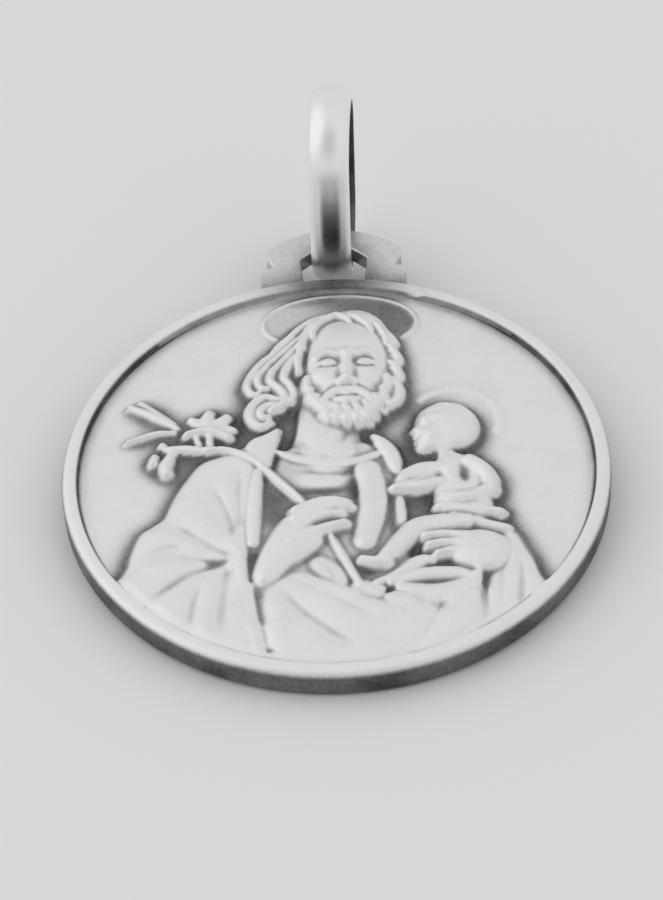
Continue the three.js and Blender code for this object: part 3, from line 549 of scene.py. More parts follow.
def smoothRun(points, closed=False, steps=6):  # a curve through all the points, with any further columns
    rows = np.asarray(points, float)
    if len(rows) < 3:
        return np.vstack([rows, rows[-1:]]) if len(rows) == 1 else rows
    count = len(rows)
    result = []
    for i in range(count if closed else count - 1):
        picks = [i - 1, i, i + 1, i + 2]
        picks = [p % count for p in picks] if closed else [min(max(p, 0), count - 1) for p in picks]
        a, b, c, d = rows[picks]
        for t in np.arange(steps) / steps:
            cubic = (3 * b - a - 3 * c + d) * t ** 3
            result.append(0.5 * (2 * b + (c - a) * t + (2 * a - 5 * b + 4 * c - d) * t * t + cubic))
    result.append(result[0] if closed else rows[-1])
    return np.array(result)


def alongRun(x, y, run):  # distance, share of the way along, depth inside the half width, that width, side
    distance = np.full(x.shape, np.inf)
    along = np.zeros(x.shape)
    inside = np.full(x.shape, -np.inf)
    width = np.ones(x.shape)
    side = np.ones(x.shape)
    for i in range(len(run) - 1):
        a, b = run[i], run[i + 1]
        step = b - a
        length = max(step[0] ** 2 + step[1] ** 2, 1e-9)
        t = np.clip(((x - a[0]) * step[0] + (y - a[1]) * step[1]) / length, 0, 1)
        gap = np.hypot(x - a[0] - t * step[0], y - a[1] - t * step[1])
        closer = gap < distance
        distance = np.where(closer, gap, distance)
        along = np.where(closer, (i + t) / (len(run) - 1), along)
        if len(a) > 2:
            radius = a[2] + t * step[2]
            share = 1 - gap / radius
            deeper = share > inside
            inside = np.where(deeper, share, inside)
            width = np.where(deeper, radius, width)
            cross = step[0] * (y - a[1]) - step[1] * (x - a[0])
            side = np.where(deeper, np.sign(cross), side)
    return distance, along, inside, width, side


def insideOutline(x, y, run):
    inside = np.zeros(x.shape, bool)
    for a, b in zip(run[:-1], run[1:]):
        if a[1] == b[1]:
            continue
        crosses = (a[1] > y) != (b[1] > y)
        inside ^= crosses & (x < (b[0] - a[0]) * (y - a[1]) / (b[1] - a[1]) + a[0])
    return inside


def strokeHeight(x, y, run, width, height, fade):
    distance, along = alongRun(x, y, run[:, :2])[:2]
    ends = smoothStep(0, fade, along) * smoothStep(0, fade, 1 - along)
    return height * np.exp(-(distance / width) ** 2) * ends


def foldRun(x0, y0, x1, y1, bend):
    t = np.linspace(0, 1, 12)
    bow = 4 * t * (1 - t) * bend / 100
    return np.stack([x0 + (x1 - x0) * t - (y1 - y0) * bow, y0 + (y1 - y0) * t + (x1 - x0) * bow], -1)


strokeLayers = {  # for each kind of stroke: times its width, times its height, share of the run that fades
    "folds": [(1, 0.55, 0.45), (3, 0.7, 0.4)],
    "locks": [(1, 1, 0.15)],
    "creases": [(1, 0.5, 0.3), (2.4, 0.5, 0.3)],
}


def formStrokes(form):  # kind, run, width and height of each stroke on a form
    for x0, y0, x1, y1, bend, width, height in form.get("folds", ()):
        yield "folds", foldRun(x0, y0, x1, y1, bend), width, height
    for kind in ("locks", "creases"):
        for width, height, points in form.get(kind, ()):
            yield kind, smoothRun(points), width, height


def formDetail(form, x, y):  # what the strokes and mounds of a form add
    total = np.zeros(x.shape)
    for kind, run, width, height in formStrokes(form):
        for widthShare, heightShare, fade in strokeLayers[kind]:
            total += strokeHeight(x, y, run, widthShare * width, heightShare * height, fade)
    for cx, cy, halfWidth, halfHeight, turn, height in form.get("mounds", ()):
        c, s = math.cos(math.radians(turn)), math.sin(math.radians(turn))
        u = ((x - cx) * c + (y - cy) * s) / halfWidth
        v = ((y - cy) * c - (x - cx) * s) / halfHeight
        total += height * np.exp(-(u * u + v * v))
    return total


reliefShape = {
    "trenchReach": 1.2, "trenchShare": 0.85, "trenchSpare": 4, "limbSoft": 0.4, "mostSoft": 1.1,
    "sheetSoft": 1.0, "strandStart": 0.15, "strandEnd": 0.1, "haloFade": 0.04,
}


def strandWave(grooves, across, along):  # 0 on a strand, 1 in a groove, fading at both ends of the limb
    start = smoothStep(0, reliefShape["strandStart"], along)
    end = smoothStep(0, reliefShape["strandEnd"], 1 - along)
    return (0.5 + 0.5 * np.cos(math.pi * (grooves * across + grooves + 1))) * start * end


def reliefHeight(x, y, finest):  # height over the field at each place, in the table's units
    height = np.zeros(x.shape)
    for arc in haloArcs:
        angles = np.radians(np.linspace(arc["start"], arc["end"], 80))
        run = np.stack([arc["x"] + arc["a"] * np.cos(angles), arc["y"] + arc["b"] * np.sin(angles)], -1)
        height += strokeHeight(x, y, run, arc["width"], arc["height"], reliefShape["haloFade"])
    trenchReach = reliefShape["trenchReach"]
    for form in reliefForms:
        if form["kind"] == "strokes":
            height += formDetail(form, x, y)
            continue
        isSheet = form["kind"] == "sheet"
        run = smoothRun(form["outline"] if isSheet else form["run"], isSheet)
        margin = 4 * trenchReach + (0 if isSheet else run[:, 2].max())
        near = (x > run[:, 0].min() - margin) & (x < run[:, 0].max() + margin)
        near &= (y > run[:, 1].min() - margin) & (y < run[:, 1].max() + margin)
        px, py, below = x[near], y[near], height[near]
        distance, along, inside, width, side = alongRun(px, py, run)
        if isSheet:
            soft = form.get("soft", reliefShape["sheetSoft"])
            depth = np.where(insideOutline(px, py, run), distance, -distance)
            slope = 1 - np.clip(depth / form["edge"], 0, 1)
            top = form["top"] - form["drop"] * slope ** 2
        else:
            soft = np.clip(reliefShape["limbSoft"] * width, finest, reliefShape["mostSoft"])
            depth = inside * width
            aside = np.clip(1 - inside, 0, 1)
            top = form["top"] - form["drop"] * aside ** 2
            if "strands" in form:
                grooves, grooveDepth = form["strands"]
                top -= grooveDepth * strandWave(grooves, side * aside, along)
        if form["trench"]:
            sink = np.minimum(form["trench"], below * reliefShape["trenchShare"] + reliefShape["trenchSpare"])
            sink = sink * np.exp(-(np.clip(-depth, 0, None) / trenchReach) ** 2)
            below = np.where((depth < 0) & (below > 0.5), below - sink, below)
        cover = smoothStep(-soft, soft, depth) * (top > below)
        height[near] = below + (top + formDetail(form, px, py) - below) * cover
    return height


print("finishes")
medalFinish = {
    "clean": (0.93, 0.928, 0.92), "tarnishAndPaintedShade": (0.075, 0.074, 0.072),
    "cleanRoughness": 0.52, "tarnishRoughness": 0.62,
    "grain": 7.0, "grainDepth": 0.006, "speckle": 0.25, "mottle": 0.6, "wave": 0.35, "waveDepth": 0.004,
}
crestFinish = {
    "clean": (0.86, 0.858, 0.85), "tarnishAndPaintedShade": (0.11, 0.109, 0.106),
    "cleanRoughness": 0.34, "tarnishRoughness": 0.55,
    "grain": 9.0, "grainDepth": 0.02, "speckle": 1.0, "mottle": 0.9, "wave": 1.3, "waveDepth": 0.02,
}
bailFinish = {
    "clean": (0.98, 0.978, 0.972), "tarnishAndPaintedShade": (0.055, 0.055, 0.054),
    "cleanRoughness": 0.34, "tarnishRoughness": 0.4,
    "grain": 9.0, "grainDepth": 0.002, "speckle": 0.2, "mottle": 0.35, "wave": 0.5, "waveDepth": 0.004,
}


# shared by the three finishes: shares of the mottle and of the grain in the tarnish and painted shade, where
# the mottle starts to show on clean metal and how much, and the grain's share in the roughness
unevenness = {"mottle": 0.35, "grain": 0.16, "faintFrom": 0.45, "faint": 0.12, "roughness": 0.08}


def silverFinish(name, look):  # tarnish and painted shade lie where the vertex attribute says, broken up by a mottle
    material = bpy.data.materials.new(name)
    material.use_nodes = True
    maker = NodeMaker(material.node_tree)
    objectPlace = maker.node("ShaderNodeTexCoord", output="Object")
    place = maker.node("ShaderNodeMapping", {}, {"Vector": objectPlace, "Scale": (1 / millimetre,) * 3})
    patinaAndPaintedShade = maker.node("ShaderNodeAttribute", {"attribute_name": "patinaAndPaintedShade"}, output="Fac")
    grain = maker.noise(place, look["grain"], detail=5.0, roughness=0.7)
    mottle = maker.noise(place, look["mottle"], detail=4.0)
    wave = maker.noise(place, look["wave"], detail=1.0)
    uneven = (mottle - 0.5) * unevenness["mottle"] + (grain - 0.5) * unevenness["grain"]
    tarnishAndPaintedShade = (patinaAndPaintedShade + uneven * patinaAndPaintedShade.between(0.02, 0.5)).between(0.0, 1.0)
    faint = (mottle - unevenness["faintFrom"]).atLeast(0.0) * unevenness["faint"]
    faint = faint + (grain - 0.5).atLeast(0.0) * look["speckle"]
    colour = maker.mixColor((tarnishAndPaintedShade + faint).atMost(1.0), (*look["clean"], 1), (*look["tarnishAndPaintedShade"], 1))
    rough = look["tarnishRoughness"] - look["cleanRoughness"]
    roughness = tarnishAndPaintedShade * rough + (grain - 0.5) * unevenness["roughness"] + look["cleanRoughness"]
    waved = maker.node("ShaderNodeBump", {}, {
        "Height": wave, "Distance": look["waveDepth"] * millimetre, "Strength": 1.0})
    # the grain stands out where the tarnish and painted shade lie
    held = grain * patinaAndPaintedShade.between(0.0, 0.6, 0.25, 1.0)
    grained = maker.node("ShaderNodeBump", {}, {
        "Height": held, "Normal": waved, "Distance": look["grainDepth"] * millimetre, "Strength": 1.0})
    shader = maker.node("ShaderNodeBsdfPrincipled", {}, {
        "Base Color": colour, "Metallic": 1.0, "Roughness": roughness, "Normal": grained})
    maker.node("ShaderNodeOutputMaterial", {}, {"Surface": shader})
    return material


medalSilver = silverFinish("medal silver", medalFinish)
crestSilver = silverFinish("crest silver", crestFinish)
bailSilver = silverFinish("bail silver", bailFinish)


def placedMesh(name, points, faces, matrix):  # a mesh whose place is in its vertices
    mesh = bpy.data.meshes.new(name)
    mesh.from_pydata(points, [], faces)
    mesh.transform(matrix)
    mesh.shade_smooth()
    mesh.update()
    return mesh


def addPiece(name, mesh, node):
    piece = bpy.data.objects.new(name, mesh)
    scene.collection.objects.link(piece)
    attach(piece, "root")
    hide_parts(node)
    return piece


# one vertex attribute holds both the patina and the painted shade
def setPatinaAndPaintedShade(mesh, values):
    attribute = mesh.attributes.new("patinaAndPaintedShade", "FLOAT", "POINT")
    attribute.data.foreach_set("value", np.asarray(values, np.float32))


print("medal")
medal = {
    "radius": 10.0, "fieldThickness": 0.88, "rimHeight": 0.32, "rimWidth": 0.52, "rimWallSlope": 0.07,
    "edgeRound": 0.28, "edgeSteps": 6, "reliefHeight": 0.75, "strikeSoftness": 0.06, "draft": 1.5,
    "cells": 290,
}
tarnishAndPaintedShade = {
    "padding": 30, "gain": 1.5, "most": 0.79,
    "figureFrom": 0.12, "figureFull": 0.24, "fieldReach": 0.42, "fieldUpTo": 0.3, "fieldShare": 2.8,
    # the rim's inner wall, the band along it and the halo's pocket are patina and painted shade; the rim's
    # outer side is painted shade
    "fieldFalloff": 1.3, "wall": 0.84, "side": 0.78, "paintedRimShadeBand": 0.36, "haloPatinaAndShade": 0.66,
    "joint": 0.75, "jointReach": 2.6,
}
tarnishGlow = [  # how far the dark reaches from a form, the fall in height that makes it full, and its share
    {"reach": 0.07, "depth": 0.025, "share": 0.32},
    {"reach": 0.16, "depth": 0.09, "share": 0.5},
    {"reach": 0.5, "depth": 0.2, "share": 0.5},
]
nick = {"x": 3.1, "y": 8.85, "reach": 0.26, "depth": 0.2}  # a small dent in the rim's inner edge


def blurred(grid, reach):  # soft mean over a reach in cells
    rows = np.fft.fftfreq(grid.shape[0])[:, None]
    columns = np.fft.rfftfreq(grid.shape[1])[None, :]
    kernel = np.exp(-2 * (math.pi * reach) ** 2 * (rows * rows + columns * columns))
    return np.fft.irfft2(np.fft.rfft2(grid) * kernel, grid.shape)


def reliefPatina(height, cell):  # tarnish gathers where the face lies low, and on the field round the figure
    pad = tarnishAndPaintedShade["padding"]
    padded = np.pad(height, pad, constant_values=0.2 * medal["rimHeight"])
    total = np.zeros(height.shape)
    for glow in tarnishGlow:
        around = blurred(padded, glow["reach"] / cell)[pad:-pad, pad:-pad]
        total += glow["share"] * np.clip((around - height) / glow["depth"], -0.5, 1.0)
    figure = smoothStep(tarnishAndPaintedShade["figureFrom"], tarnishAndPaintedShade["figureFull"], padded)
    near = np.maximum(blurred(figure, tarnishAndPaintedShade["fieldReach"] / cell)[pad:-pad, pad:-pad], 0)
    field = smoothStep(tarnishAndPaintedShade["fieldUpTo"], tarnishAndPaintedShade["figureFrom"], height)
    total += tarnishAndPaintedShade["fieldShare"] * near ** tarnishAndPaintedShade["fieldFalloff"] * field
    return tarnishAndPaintedShade["most"] * (1 - np.exp(-tarnishAndPaintedShade["gain"] * np.clip(total, 0, None)))


def drafted(height, cell):  # no wall stands steeper than the die's draft
    reach = 8
    step = medal["draft"] * cell
    padded = np.pad(height, reach, mode="edge")
    for _ in range(reach):
        for across, up in ((1, 0), (0, 1), (1, 1), (1, -1)):
            fall = step * math.hypot(across, up)
            for sign in (1, -1):
                padded = np.maximum(padded, np.roll(padded, (sign * up, sign * across), (0, 1)) - fall)
    return padded[reach:-reach, reach:-reach]


def haloPatinaAndShade(x, y):  # the field inside and over the halo is left dark by patina and painted shade, more on its right, in places of the relief's table
    halo = haloArcs[0]
    u, v = (x - halo["x"]) / halo["a"], (y - halo["y"]) / halo["b"]
    inside = smoothStep(1.12, 0.9, np.hypot(u, v))
    # painted shade from the rim's wall over the top of the halo
    over = smoothStep(78, 92, y) * smoothStep(54, 6, np.abs(x - halo["x"]))
    return tarnishAndPaintedShade["haloPatinaAndShade"] * np.maximum(inside * (0.4 + 0.6 * smoothStep(-18, 10, x)), over)


def squareFaces(count):  # triangles of a square grid, with diagonals that run outwards so that none folds
    index = np.arange(count * count).reshape(count, count)
    a, b, c, d = index[:-1, :-1], index[:-1, 1:], index[1:, 1:], index[1:, :-1]
    half = (count - 1) // 2
    row, column = np.indices(a.shape)
    split = (column < half) == (row < half)
    first = np.where(split[..., None], np.stack([a, b, d], -1), np.stack([a, b, c], -1))
    second = np.where(split[..., None], np.stack([b, c, d], -1), np.stack([a, c, d], -1))
    return np.concatenate([first.reshape(-1, 3), second.reshape(-1, 3)])


def squareBorder(count):  # indices round the grid, anticlockwise
    index = np.arange(count * count).reshape(count, count)
    return np.concatenate([index[0, :-1], index[:-1, -1], index[-1, :0:-1], index[:0:-1, 0]])


def rimRings():  # columns: radius, share of the way from the field's border to the height, height, patina and painted shade
    radius, edge = medal["radius"], medal["edgeRound"]
    inner = radius - medal["rimWidth"]
    crown = medal["fieldThickness"] + medal["rimHeight"]
    wall = medal["rimWallSlope"]
    rings = [
        # patina and painted shade on the rim's inner wall
        (inner - 0.55 * wall, 0.5, crown, tarnishAndPaintedShade["wall"]),
        (inner - 0.15 * wall, 0.88, crown, 0.3),
        (inner + 0.02, 0.97, crown, 0.05),
        (inner + 0.06, 1.0, crown, 0.0),
        (inner + 0.13, 1.0, crown + 0.006, 0.0),
    ]
    steps = medal["edgeSteps"]
    for i in range(steps + 1):  # the rounded upper edge, its first ring a little further in
        angle = i / steps * math.pi / 2
        inset = 0.02 * (i == 0)
        # painted shade on the rim's outer side, fading in round the upper edge
        turned = tarnishAndPaintedShade["side"] * smoothStep(0.3, 1, i / steps)
        height = crown - edge * (1 - math.cos(angle))
        rings.append((radius - edge * (1 - math.sin(angle)) - inset, 1.0, height, turned))
    for i in range(steps + 1):  # the rounded lower edge
        angle = i / steps * math.pi / 2
        height = edge * (1 - math.sin(angle))
        rings.append((radius - edge * (1 - math.cos(angle)), 1.0, height, tarnishAndPaintedShade["side"]))
    rings.append((radius - edge - 0.08, 1.0, 0.0, tarnishAndPaintedShade["side"]))
    return rings


def medalMesh():
    count = medal["cells"] + 1
    fieldRadius = medal["radius"] - medal["rimWidth"] - medal["rimWallSlope"]
    cell = 2 * fieldRadius / medal["cells"]
    line = np.linspace(-1, 1, count)
    u, v = np.meshgrid(line, line)
    x = u * np.sqrt(1 - v * v / 2) * fieldRadius
    y = v * np.sqrt(1 - u * u / 2) * fieldRadius
    unit = medal["radius"] / 100
    height = reliefHeight(x / unit, y / unit, 0.6 * cell / unit) / 100 * medal["reliefHeight"]
    height = blurred(drafted(height, cell), medal["strikeSoftness"] / cell)
    atBorder = smoothStep(0.965, 1, np.hypot(x, y) / fieldRadius)
    height += (np.minimum(height, medal["rimHeight"]) - height) * atBorder
    patinaAndPaintedShade = reliefPatina(height, cell)
    bare = smoothStep(0.3 * medal["rimHeight"], 0.1 * medal["rimHeight"], height)
    patinaAndPaintedShade = np.maximum(patinaAndPaintedShade, haloPatinaAndShade(x / unit, y / unit) * bare)
    # painted shade: a soft dark band follows the rim's inner wall, and fades towards the near side; the wall
    # itself has patina and painted shade
    outwards = np.hypot(x, y) / fieldRadius
    paintedRimShade = tarnishAndPaintedShade["paintedRimShadeBand"] * smoothStep(0.93, 1, outwards) * smoothStep(-0.5, 0.1, y / medal["radius"])
    wall = tarnishAndPaintedShade["wall"] * smoothStep(0.985, 1, outwards)
    patinaAndPaintedShade = np.maximum(patinaAndPaintedShade, np.maximum(paintedRimShade, wall) * np.clip(1 - height / medal["rimHeight"], 0, 1))
    points = np.stack([x, y, height + medal["fieldThickness"]], -1).reshape(-1, 3)
    faces = [squareFaces(count)]
    patinaAndShadeRows = [patinaAndPaintedShade.ravel()]

    border = squareBorder(count)
    size = len(border) // 2
    foot = points[border[::2]]
    turn = np.arctan2(foot[:, 1], foot[:, 0])
    rings = rimRings()
    blocks = [points]
    for radius, share, level, dark in rings:
        gap = np.hypot(radius * np.cos(turn) - nick["x"], radius * np.sin(turn) - nick["y"])
        dent = nick["depth"] * np.exp(-(gap / nick["reach"]) ** 2)
        z = foot[:, 2] + (level - foot[:, 2]) * share - dent
        joint = np.exp(-(radius * np.cos(turn) / tarnishAndPaintedShade["jointReach"]) ** 2) * (np.sin(turn) > 0)
        blocks.append(np.stack([radius * np.cos(turn), radius * np.sin(turn), z], -1))
        if radius < medal["radius"] - medal["rimWidth"]:  # where the figure meets the rim there is no wall
            dark = dark * np.clip(1 - (foot[:, 2] - medal["fieldThickness"]) / medal["rimHeight"], 0, 1)
        patinaAndShadeRows.append(np.maximum(dark, tarnishAndPaintedShade["joint"] * joint * (radius < medal["radius"] - 0.1)))
    middle = len(points) + len(rings) * size
    blocks.append(np.zeros((1, 3)))
    # the back's middle takes the outer side's painted shade
    patinaAndShadeRows.append([tarnishAndPaintedShade["side"]])

    i = np.arange(size)
    after = (i + 1) % size
    a, b, c = border[2 * i], border[2 * i + 1], border[(2 * i + 2) % len(border)]
    first = len(points)
    faces += [np.stack([a, first + i, b], -1), np.stack([b, first + i, first + after], -1),
              np.stack([b, first + after, c], -1)]
    for ring in range(len(rings) - 1):
        start = first + ring * size
        faces += [np.stack([start + i, start + size + i, start + size + after], -1),
                  np.stack([start + i, start + size + after, start + after], -1)]
    back = middle - size
    faces.append(np.stack([back + i, np.full(size, middle), back + after], -1))
    mesh = placedMesh("medal", np.concatenate(blocks).tolist(), np.concatenate(faces).tolist(), restPlace)
    mesh.materials.append(medalSilver)
    setPatinaAndPaintedShade(mesh, np.concatenate(patinaAndShadeRows))
    return mesh


addPiece("struck_medal", medalMesh(), "medal")


print("crest")
crest = {
    "width": 5.7, "thickness": 0.7, "setback": 0.35, "foot": 0.7, "bridgeHeight": 0.92, "sideGap": 0.54,
    "riseGap": 1.58, "bevel": 0.07, "cornerRound": 0.1,
    # shares of the crest's half width and rise, and of the hole's for the hole
    "side": [(0.995, 0.0), (0.995, 0.3), (0.83, 0.325), (0.93, 0.51), (0.93, 0.61)],
    "arch": (0.91, 0.655), "hole": [(0.88, 0.02), (1, 0.64), (0.34, 1)],
    "filmAndPaintedReflection": 0.2, "lowFilm": 0.55, "lowReach": 0.7, "wallFilm": 0.45,
}
bail = {
    "wireWidth": 1.58, "wireThickness": 0.65, "height": 8.66, "play": 2.68, "legGap": 0.98, "underGap": 0.55,
    "turn": 3.4, "lean": 0.7, "lip": 1 / 6, "sides": 48, "bendSteps": 40, "sectionGap": 0.16,
    # a painted dark reflection along the front leg, and painted shade on the loop's top and inside
    "filmAndPaintedReflection": 0.86, "crownFrom": 0.89, "crownFull": 0.985, "cleanFrom": 8.2, "darkBelow": 3.5,
    "footFrom": 3.6, "footTo": 2.0, "footShare": 0.5, "topPaintedShade": 0.14,
    "insidePaintedShade": 0.8, "insideFrom": 0.45, "insideFull": 0.85,
}
holeTop = medal["radius"] + bail["wireThickness"] + crest["riseGap"]
crestTop = holeTop + crest["bridgeHeight"]
crestBack = medal["fieldThickness"] + medal["rimHeight"] - crest["setback"] - crest["thickness"]


def rounded(corners, radius):  # the same outline with each corner turned by a short arc
    result = []
    for i, corner in enumerate(corners):
        here = Vector(corner)
        before = Vector(corners[i - 1]) - here
        after = Vector(corners[(i + 1) % len(corners)]) - here
        reach = min(radius, 0.45 * before.length, 0.45 * after.length)
        start, end = here + before.normalized() * reach, here + after.normalized() * reach
        for step in range(5):
            t = step / 4
            result.append(start * (1 - t) ** 2 + here * 2 * t * (1 - t) + end * t * t)
    return result


def crestOutline():
    half = crest["width"] / 2
    rise = crestTop - medal["radius"]
    root = medal["radius"] - crest["foot"]
    side = [(x * half, medal["radius"] + y * rise) for x, y in crest["side"]]
    reach = crest["arch"][0] * half
    archRise = (1 - crest["arch"][1]) * rise
    radius = (reach ** 2 + archRise ** 2) / (2 * archRise)
    spread = math.asin(reach / radius)
    arch = []
    for i in range(13):
        angle = spread * (1 - i / 6)
        arch.append((radius * math.sin(angle), crestTop - radius + radius * math.cos(angle)))
    mirrored = [(-x, y) for x, y in reversed(side)]
    return [(-side[0][0], root), (side[0][0], root), *side[1:], *arch, *mirrored[:-1]]


def crestHole():
    half = bail["wireWidth"] / 2 + crest["sideGap"]
    rise = holeTop - medal["radius"]
    corners = [(x * half, medal["radius"] + y * rise) for x, y in crest["hole"]]
    return [(-x, y) for x, y in corners] + corners[::-1]


def addSpline(curve, points):
    spline = curve.splines.new("POLY")
    spline.points.add(len(points) - 1)
    for target, point in zip(spline.points, points):
        target.co = (point[0], point[1], 0, 1)
    spline.use_cyclic_u = True


def bareMesh(source):  # the source's final shape as a plain mesh, without the source
    evaluated = source.evaluated_get(bpy.context.evaluated_depsgraph_get())
    return bpy.data.meshes.new_from_object(evaluated)


def crestMesh():
    curve = bpy.data.curves.new("crest outline", "CURVE")
    curve.dimensions = "2D"
    curve.fill_mode = "BOTH"
    curve.bevel_depth = crest["bevel"]
    curve.offset = -crest["bevel"]
    curve.bevel_resolution = 3
    curve.extrude = crest["thickness"] / 2 - crest["bevel"]
    addSpline(curve, rounded(crestOutline(), crest["cornerRound"]))
    addSpline(curve, rounded(crestHole(), crest["cornerRound"]))
    source = bpy.data.objects.new("crest outline", curve)
    scene.collection.objects.link(source)
    mesh = bareMesh(source)
    bpy.data.objects.remove(source)
    mesh.name = "crest"
    work = bmesh.new()
    work.from_mesh(mesh)
    bmesh.ops.remove_doubles(work, verts=work.verts, dist=1e-4)
    bmesh.ops.triangulate(work, faces=[face for face in work.faces if len(face.verts) > 4])
    bmesh.ops.recalc_face_normals(work, faces=work.faces)
    work.to_mesh(mesh)
    work.free()
    heights = np.array([vertex.co[:] for vertex in mesh.vertices])
    mesh.transform(restPlace @ Matrix.Translation((0, 0, crestBack + crest["thickness"] / 2)))
    mesh.materials.clear()
    mesh.materials.append(crestSilver)
    # tarnish in the corner at the rim and on the walls, little on the bridge
    low = 1 - np.clip((heights[:, 1] - medal["radius"]) / crest["lowReach"], 0, 1)
    wall = np.clip(1 - (heights[:, 2] + crest["thickness"] / 2) / crest["thickness"], 0, 1)
    setPatinaAndPaintedShade(mesh, np.clip(crest["filmAndPaintedReflection"] + crest["lowFilm"] * low + crest["wallFilm"] * wall, 0, 1))
    for polygon in mesh.polygons:
        polygon.use_smooth = True
    return mesh


addPiece("pierced_crest", crestMesh(), "medal")

print("bail")
bailDepth = 2 * bail["wireThickness"] + crest["bridgeHeight"] + bail["play"]
bailBottom = crestBack - bail["underGap"] - bail["wireThickness"]
bailMiddle = holeTop - bail["legGap"] - bail["wireThickness"] + bailDepth / 2


def wireLoopTree():  # an oval loop of half-round wire, its plane x and y, its wire's flat side inwards
    tree = bpy.data.node_groups.new("wire loop", "GeometryNodeTree")
    face = tree.interface
    face.new_socket("Geometry", in_out="INPUT", socket_type="NodeSocketGeometry")
    for name in ("Depth", "Height", "Wire width", "Wire thickness", "Lip", "Section gap"):
        face.new_socket(name, in_out="INPUT", socket_type="NodeSocketFloat")
    for name in ("Bend steps", "Wire sides"):
        face.new_socket(name, in_out="INPUT", socket_type="NodeSocketInt")
    face.new_socket("Material", in_out="INPUT", socket_type="NodeSocketMaterial")
    face.new_socket("Geometry", in_out="OUTPUT", socket_type="NodeSocketGeometry")
    maker = NodeMaker(tree)
    given = tree.nodes.new("NodeGroupInput")
    value = {socket.name: Signal(maker, socket) for socket in given.outputs if socket.name}

    fullBend = 0.4999  # of the depth: a hair under a half, so that two corners never meet
    path = maker.node("GeometryNodeCurvePrimitiveQuadrilateral", {}, {
        "Width": value["Depth"], "Height": value["Height"]})
    path = maker.node("GeometryNodeFilletCurve", {"mode": "POLY"}, {
        "Curve": path, "Radius": value["Depth"] * fullBend, "Limit Radius": True,
        "Count": value["Bend steps"]})
    path = maker.node("GeometryNodeResampleCurve", {"mode": "LENGTH"}, {
        "Curve": path, "Length": value["Section gap"]})
    path = maker.node("GeometryNodeSetCurveNormal", {"mode": "Z_UP"}, {"Curve": path})

    ring = maker.node("GeometryNodeCurvePrimitiveCircle", {}, {
        "Resolution": value["Wire sides"], "Radius": 1.0})
    here = maker.node("GeometryNodeInputPosition")
    parts = maker.node("ShaderNodeSeparateXYZ", {}, {"Vector": here})
    across = parts
    outwards = Signal(maker, parts.socket.node.outputs["Y"])
    crown = value["Wire thickness"] * (1 - value["Lip"])
    low = (0 - outwards).atLeast(0.0) ** 0.35
    section = crown * outwards.atLeast(0.0) - value["Wire thickness"] * value["Lip"] * low - crown
    moved = maker.node("ShaderNodeCombineXYZ", {}, {"X": section, "Y": across * value["Wire width"] * 0.5})
    ring = maker.node("GeometryNodeSetPosition", {}, {"Geometry": ring, "Position": moved})

    loop = maker.node("GeometryNodeCurveToMesh", {}, {"Curve": path, "Profile Curve": ring})
    loop = maker.node("GeometryNodeMergeByDistance", {}, {"Geometry": loop, "Distance": 0.01})
    loop = maker.node("GeometryNodeSetShadeSmooth", {}, {"Geometry": loop})
    loop = maker.node("GeometryNodeRealizeInstances", {}, {"Geometry": loop})
    loop = maker.node("GeometryNodeSetMaterial", {}, {"Geometry": loop, "Material": value["Material"]})
    maker.node("NodeGroupOutput", {}, {"Geometry": loop})
    return tree


def bailMesh():
    source = bpy.data.objects.new("bail", bpy.data.meshes.new("bail source"))
    scene.collection.objects.link(source)
    modifier = source.modifiers.new("wire loop", "NODES")
    modifier.node_group = wireLoopTree()
    settings = {
        "Depth": bailDepth, "Height": bail["height"], "Wire width": bail["wireWidth"],
        "Wire thickness": bail["wireThickness"], "Lip": bail["lip"], "Section gap": bail["sectionGap"],
        "Bend steps": bail["bendSteps"], "Wire sides": bail["sides"], "Material": bailSilver,
    }
    for item in modifier.node_group.interface.items_tree:
        if item.in_out == "INPUT" and item.name in settings:
            modifier[item.identifier] = settings[item.name]
    mesh = bareMesh(source)
    bpy.data.objects.remove(source)
    mesh.name = "bail"
    upright = Matrix(((0, 0, 1, 0), (1, 0, 0, 0), (0, 1, 0, bail["height"] / 2), (0, 0, 0, 1)))
    lean = Matrix.Rotation(math.radians(bail["lean"]), 4, "Y")
    turn = Matrix.Rotation(math.radians(-bail["turn"]), 4, "Z")
    mesh.transform(restPlace @ Matrix.Translation((0, bailMiddle, bailBottom)) @ lean @ turn @ upright)
    mesh.flip_normals()
    mesh.update()
    places = np.empty(3 * len(mesh.vertices))
    mesh.vertices.foreach_get("co", places)
    normals = np.empty(3 * len(mesh.vertices))
    mesh.vertices.foreach_get("normal", normals)
    places = places.reshape(-1, 3) / millimetre
    normals = normals.reshape(-1, 3)
    # a painted dark reflection lies along the front leg's crown, low down, with painted shade on the top and
    # inside the loop
    crown = smoothStep(bail["crownFrom"], bail["crownFull"], -normals[:, 1])
    filmAndPaintedReflection = bail["filmAndPaintedReflection"] * crown * smoothStep(bail["cleanFrom"], bail["darkBelow"], places[:, 2])
    filmAndPaintedReflection *= 1 - bail["footShare"] * smoothStep(bail["footFrom"], bail["footTo"], places[:, 2])
    filmAndPaintedReflection = np.maximum(filmAndPaintedReflection, bail["topPaintedShade"] * smoothStep(0.5, 1, normals[:, 2]))
    middle = places[:, 1].mean()
    half = bailDepth / 2
    core = np.clip(places[:, 2], half, bail["height"] - half)
    inward = np.stack([middle - places[:, 1], core - places[:, 2]], -1)
    inward /= np.maximum(np.hypot(inward[:, 0], inward[:, 1]), 1e-6)[:, None]
    inside = smoothStep(bail["insideFrom"], bail["insideFull"], (normals[:, 1:] * inward).sum(-1))
    setPatinaAndPaintedShade(mesh, np.maximum(filmAndPaintedReflection, bail["insidePaintedShade"] * inside))
    return mesh


addPiece("oval_bail", bailMesh(), "bail")

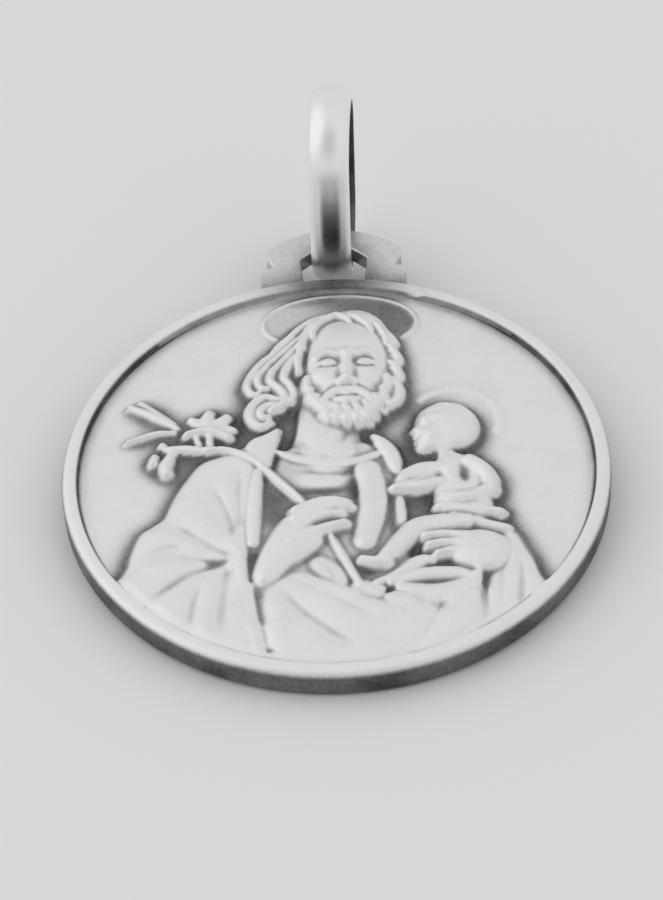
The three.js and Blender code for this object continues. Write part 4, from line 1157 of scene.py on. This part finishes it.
print("studio")
studio = {
    "floorSize": 2000.0, "floorGrey": 0.92, "base": 0.71, "zenith": 0.75, "brightFrom": 0.3, "dark": 0.5,
    "darkTowards": (0.0, -0.72, 0.69), "darkInner": 8.0, "darkOuter": 38.0,
    "lampPlace": (-280.0, 20.0, 190.0), "lampSize": 520.0, "lampPower": 0.14,
}


def addFloor():
    half = studio["floorSize"] / 2
    corners = [(-half, -half, 0), (half, -half, 0), (half, half, 0), (-half, half, 0)]
    mesh = placedMesh("floor", corners, [(0, 1, 2, 3)], Matrix.Scale(millimetre, 4))
    material = bpy.data.materials.new("pale floor")
    material.use_nodes = True
    maker = NodeMaker(material.node_tree)
    shader = maker.node("ShaderNodeBsdfDiffuse", {}, {"Color": grey(studio["floorGrey"])})
    maker.node("ShaderNodeOutputMaterial", {}, {"Surface": shader})
    mesh.materials.append(material)
    floor = bpy.data.objects.new("floor", mesh)
    scene.collection.objects.link(floor)


def addWorld():
    world = bpy.data.worlds.new("white room")
    world.use_nodes = True
    scene.world = world
    maker = NodeMaker(world.node_tree)
    direction = maker.node("ShaderNodeTexCoord", output="Generated")
    parts = maker.node("ShaderNodeSeparateXYZ", {}, {"Vector": direction})
    up = Signal(maker, parts.socket.node.outputs["Z"])
    towards = Vector(studio["darkTowards"]).normalized()
    facing = maker.node("ShaderNodeVectorMath", {"operation": "DOT_PRODUCT"},
                        {0: direction, 1: tuple(towards)}, output="Value")
    outer, inner = (math.cos(math.radians(studio[name])) for name in ("darkOuter", "darkInner"))
    patch = facing.between(outer, inner)
    bright = up.between(studio["brightFrom"], 1.0, studio["base"], studio["zenith"])
    light = bright * (1 - patch) + patch * studio["dark"]
    colour = maker.node("ShaderNodeCombineColor", {}, {"Red": light, "Green": light, "Blue": light})
    background = maker.node("ShaderNodeBackground", {}, {"Color": colour, "Strength": 1.0})
    maker.node("ShaderNodeOutputWorld", {}, {"Surface": background})


def addLamp():
    lamp = bpy.data.objects.new("soft lamp", bpy.data.lights.new("soft lamp", "AREA"))
    lamp.data.shape = "DISK"
    lamp.data.size = studio["lampSize"] * millimetre
    lamp.data.energy = studio["lampPower"]
    lamp.location = Vector(studio["lampPlace"]) * millimetre
    lamp.rotation_euler = lamp.location.to_track_quat("Z", "Y").to_euler()
    scene.collection.objects.link(lamp)


addFloor()
addWorld()
addLamp()
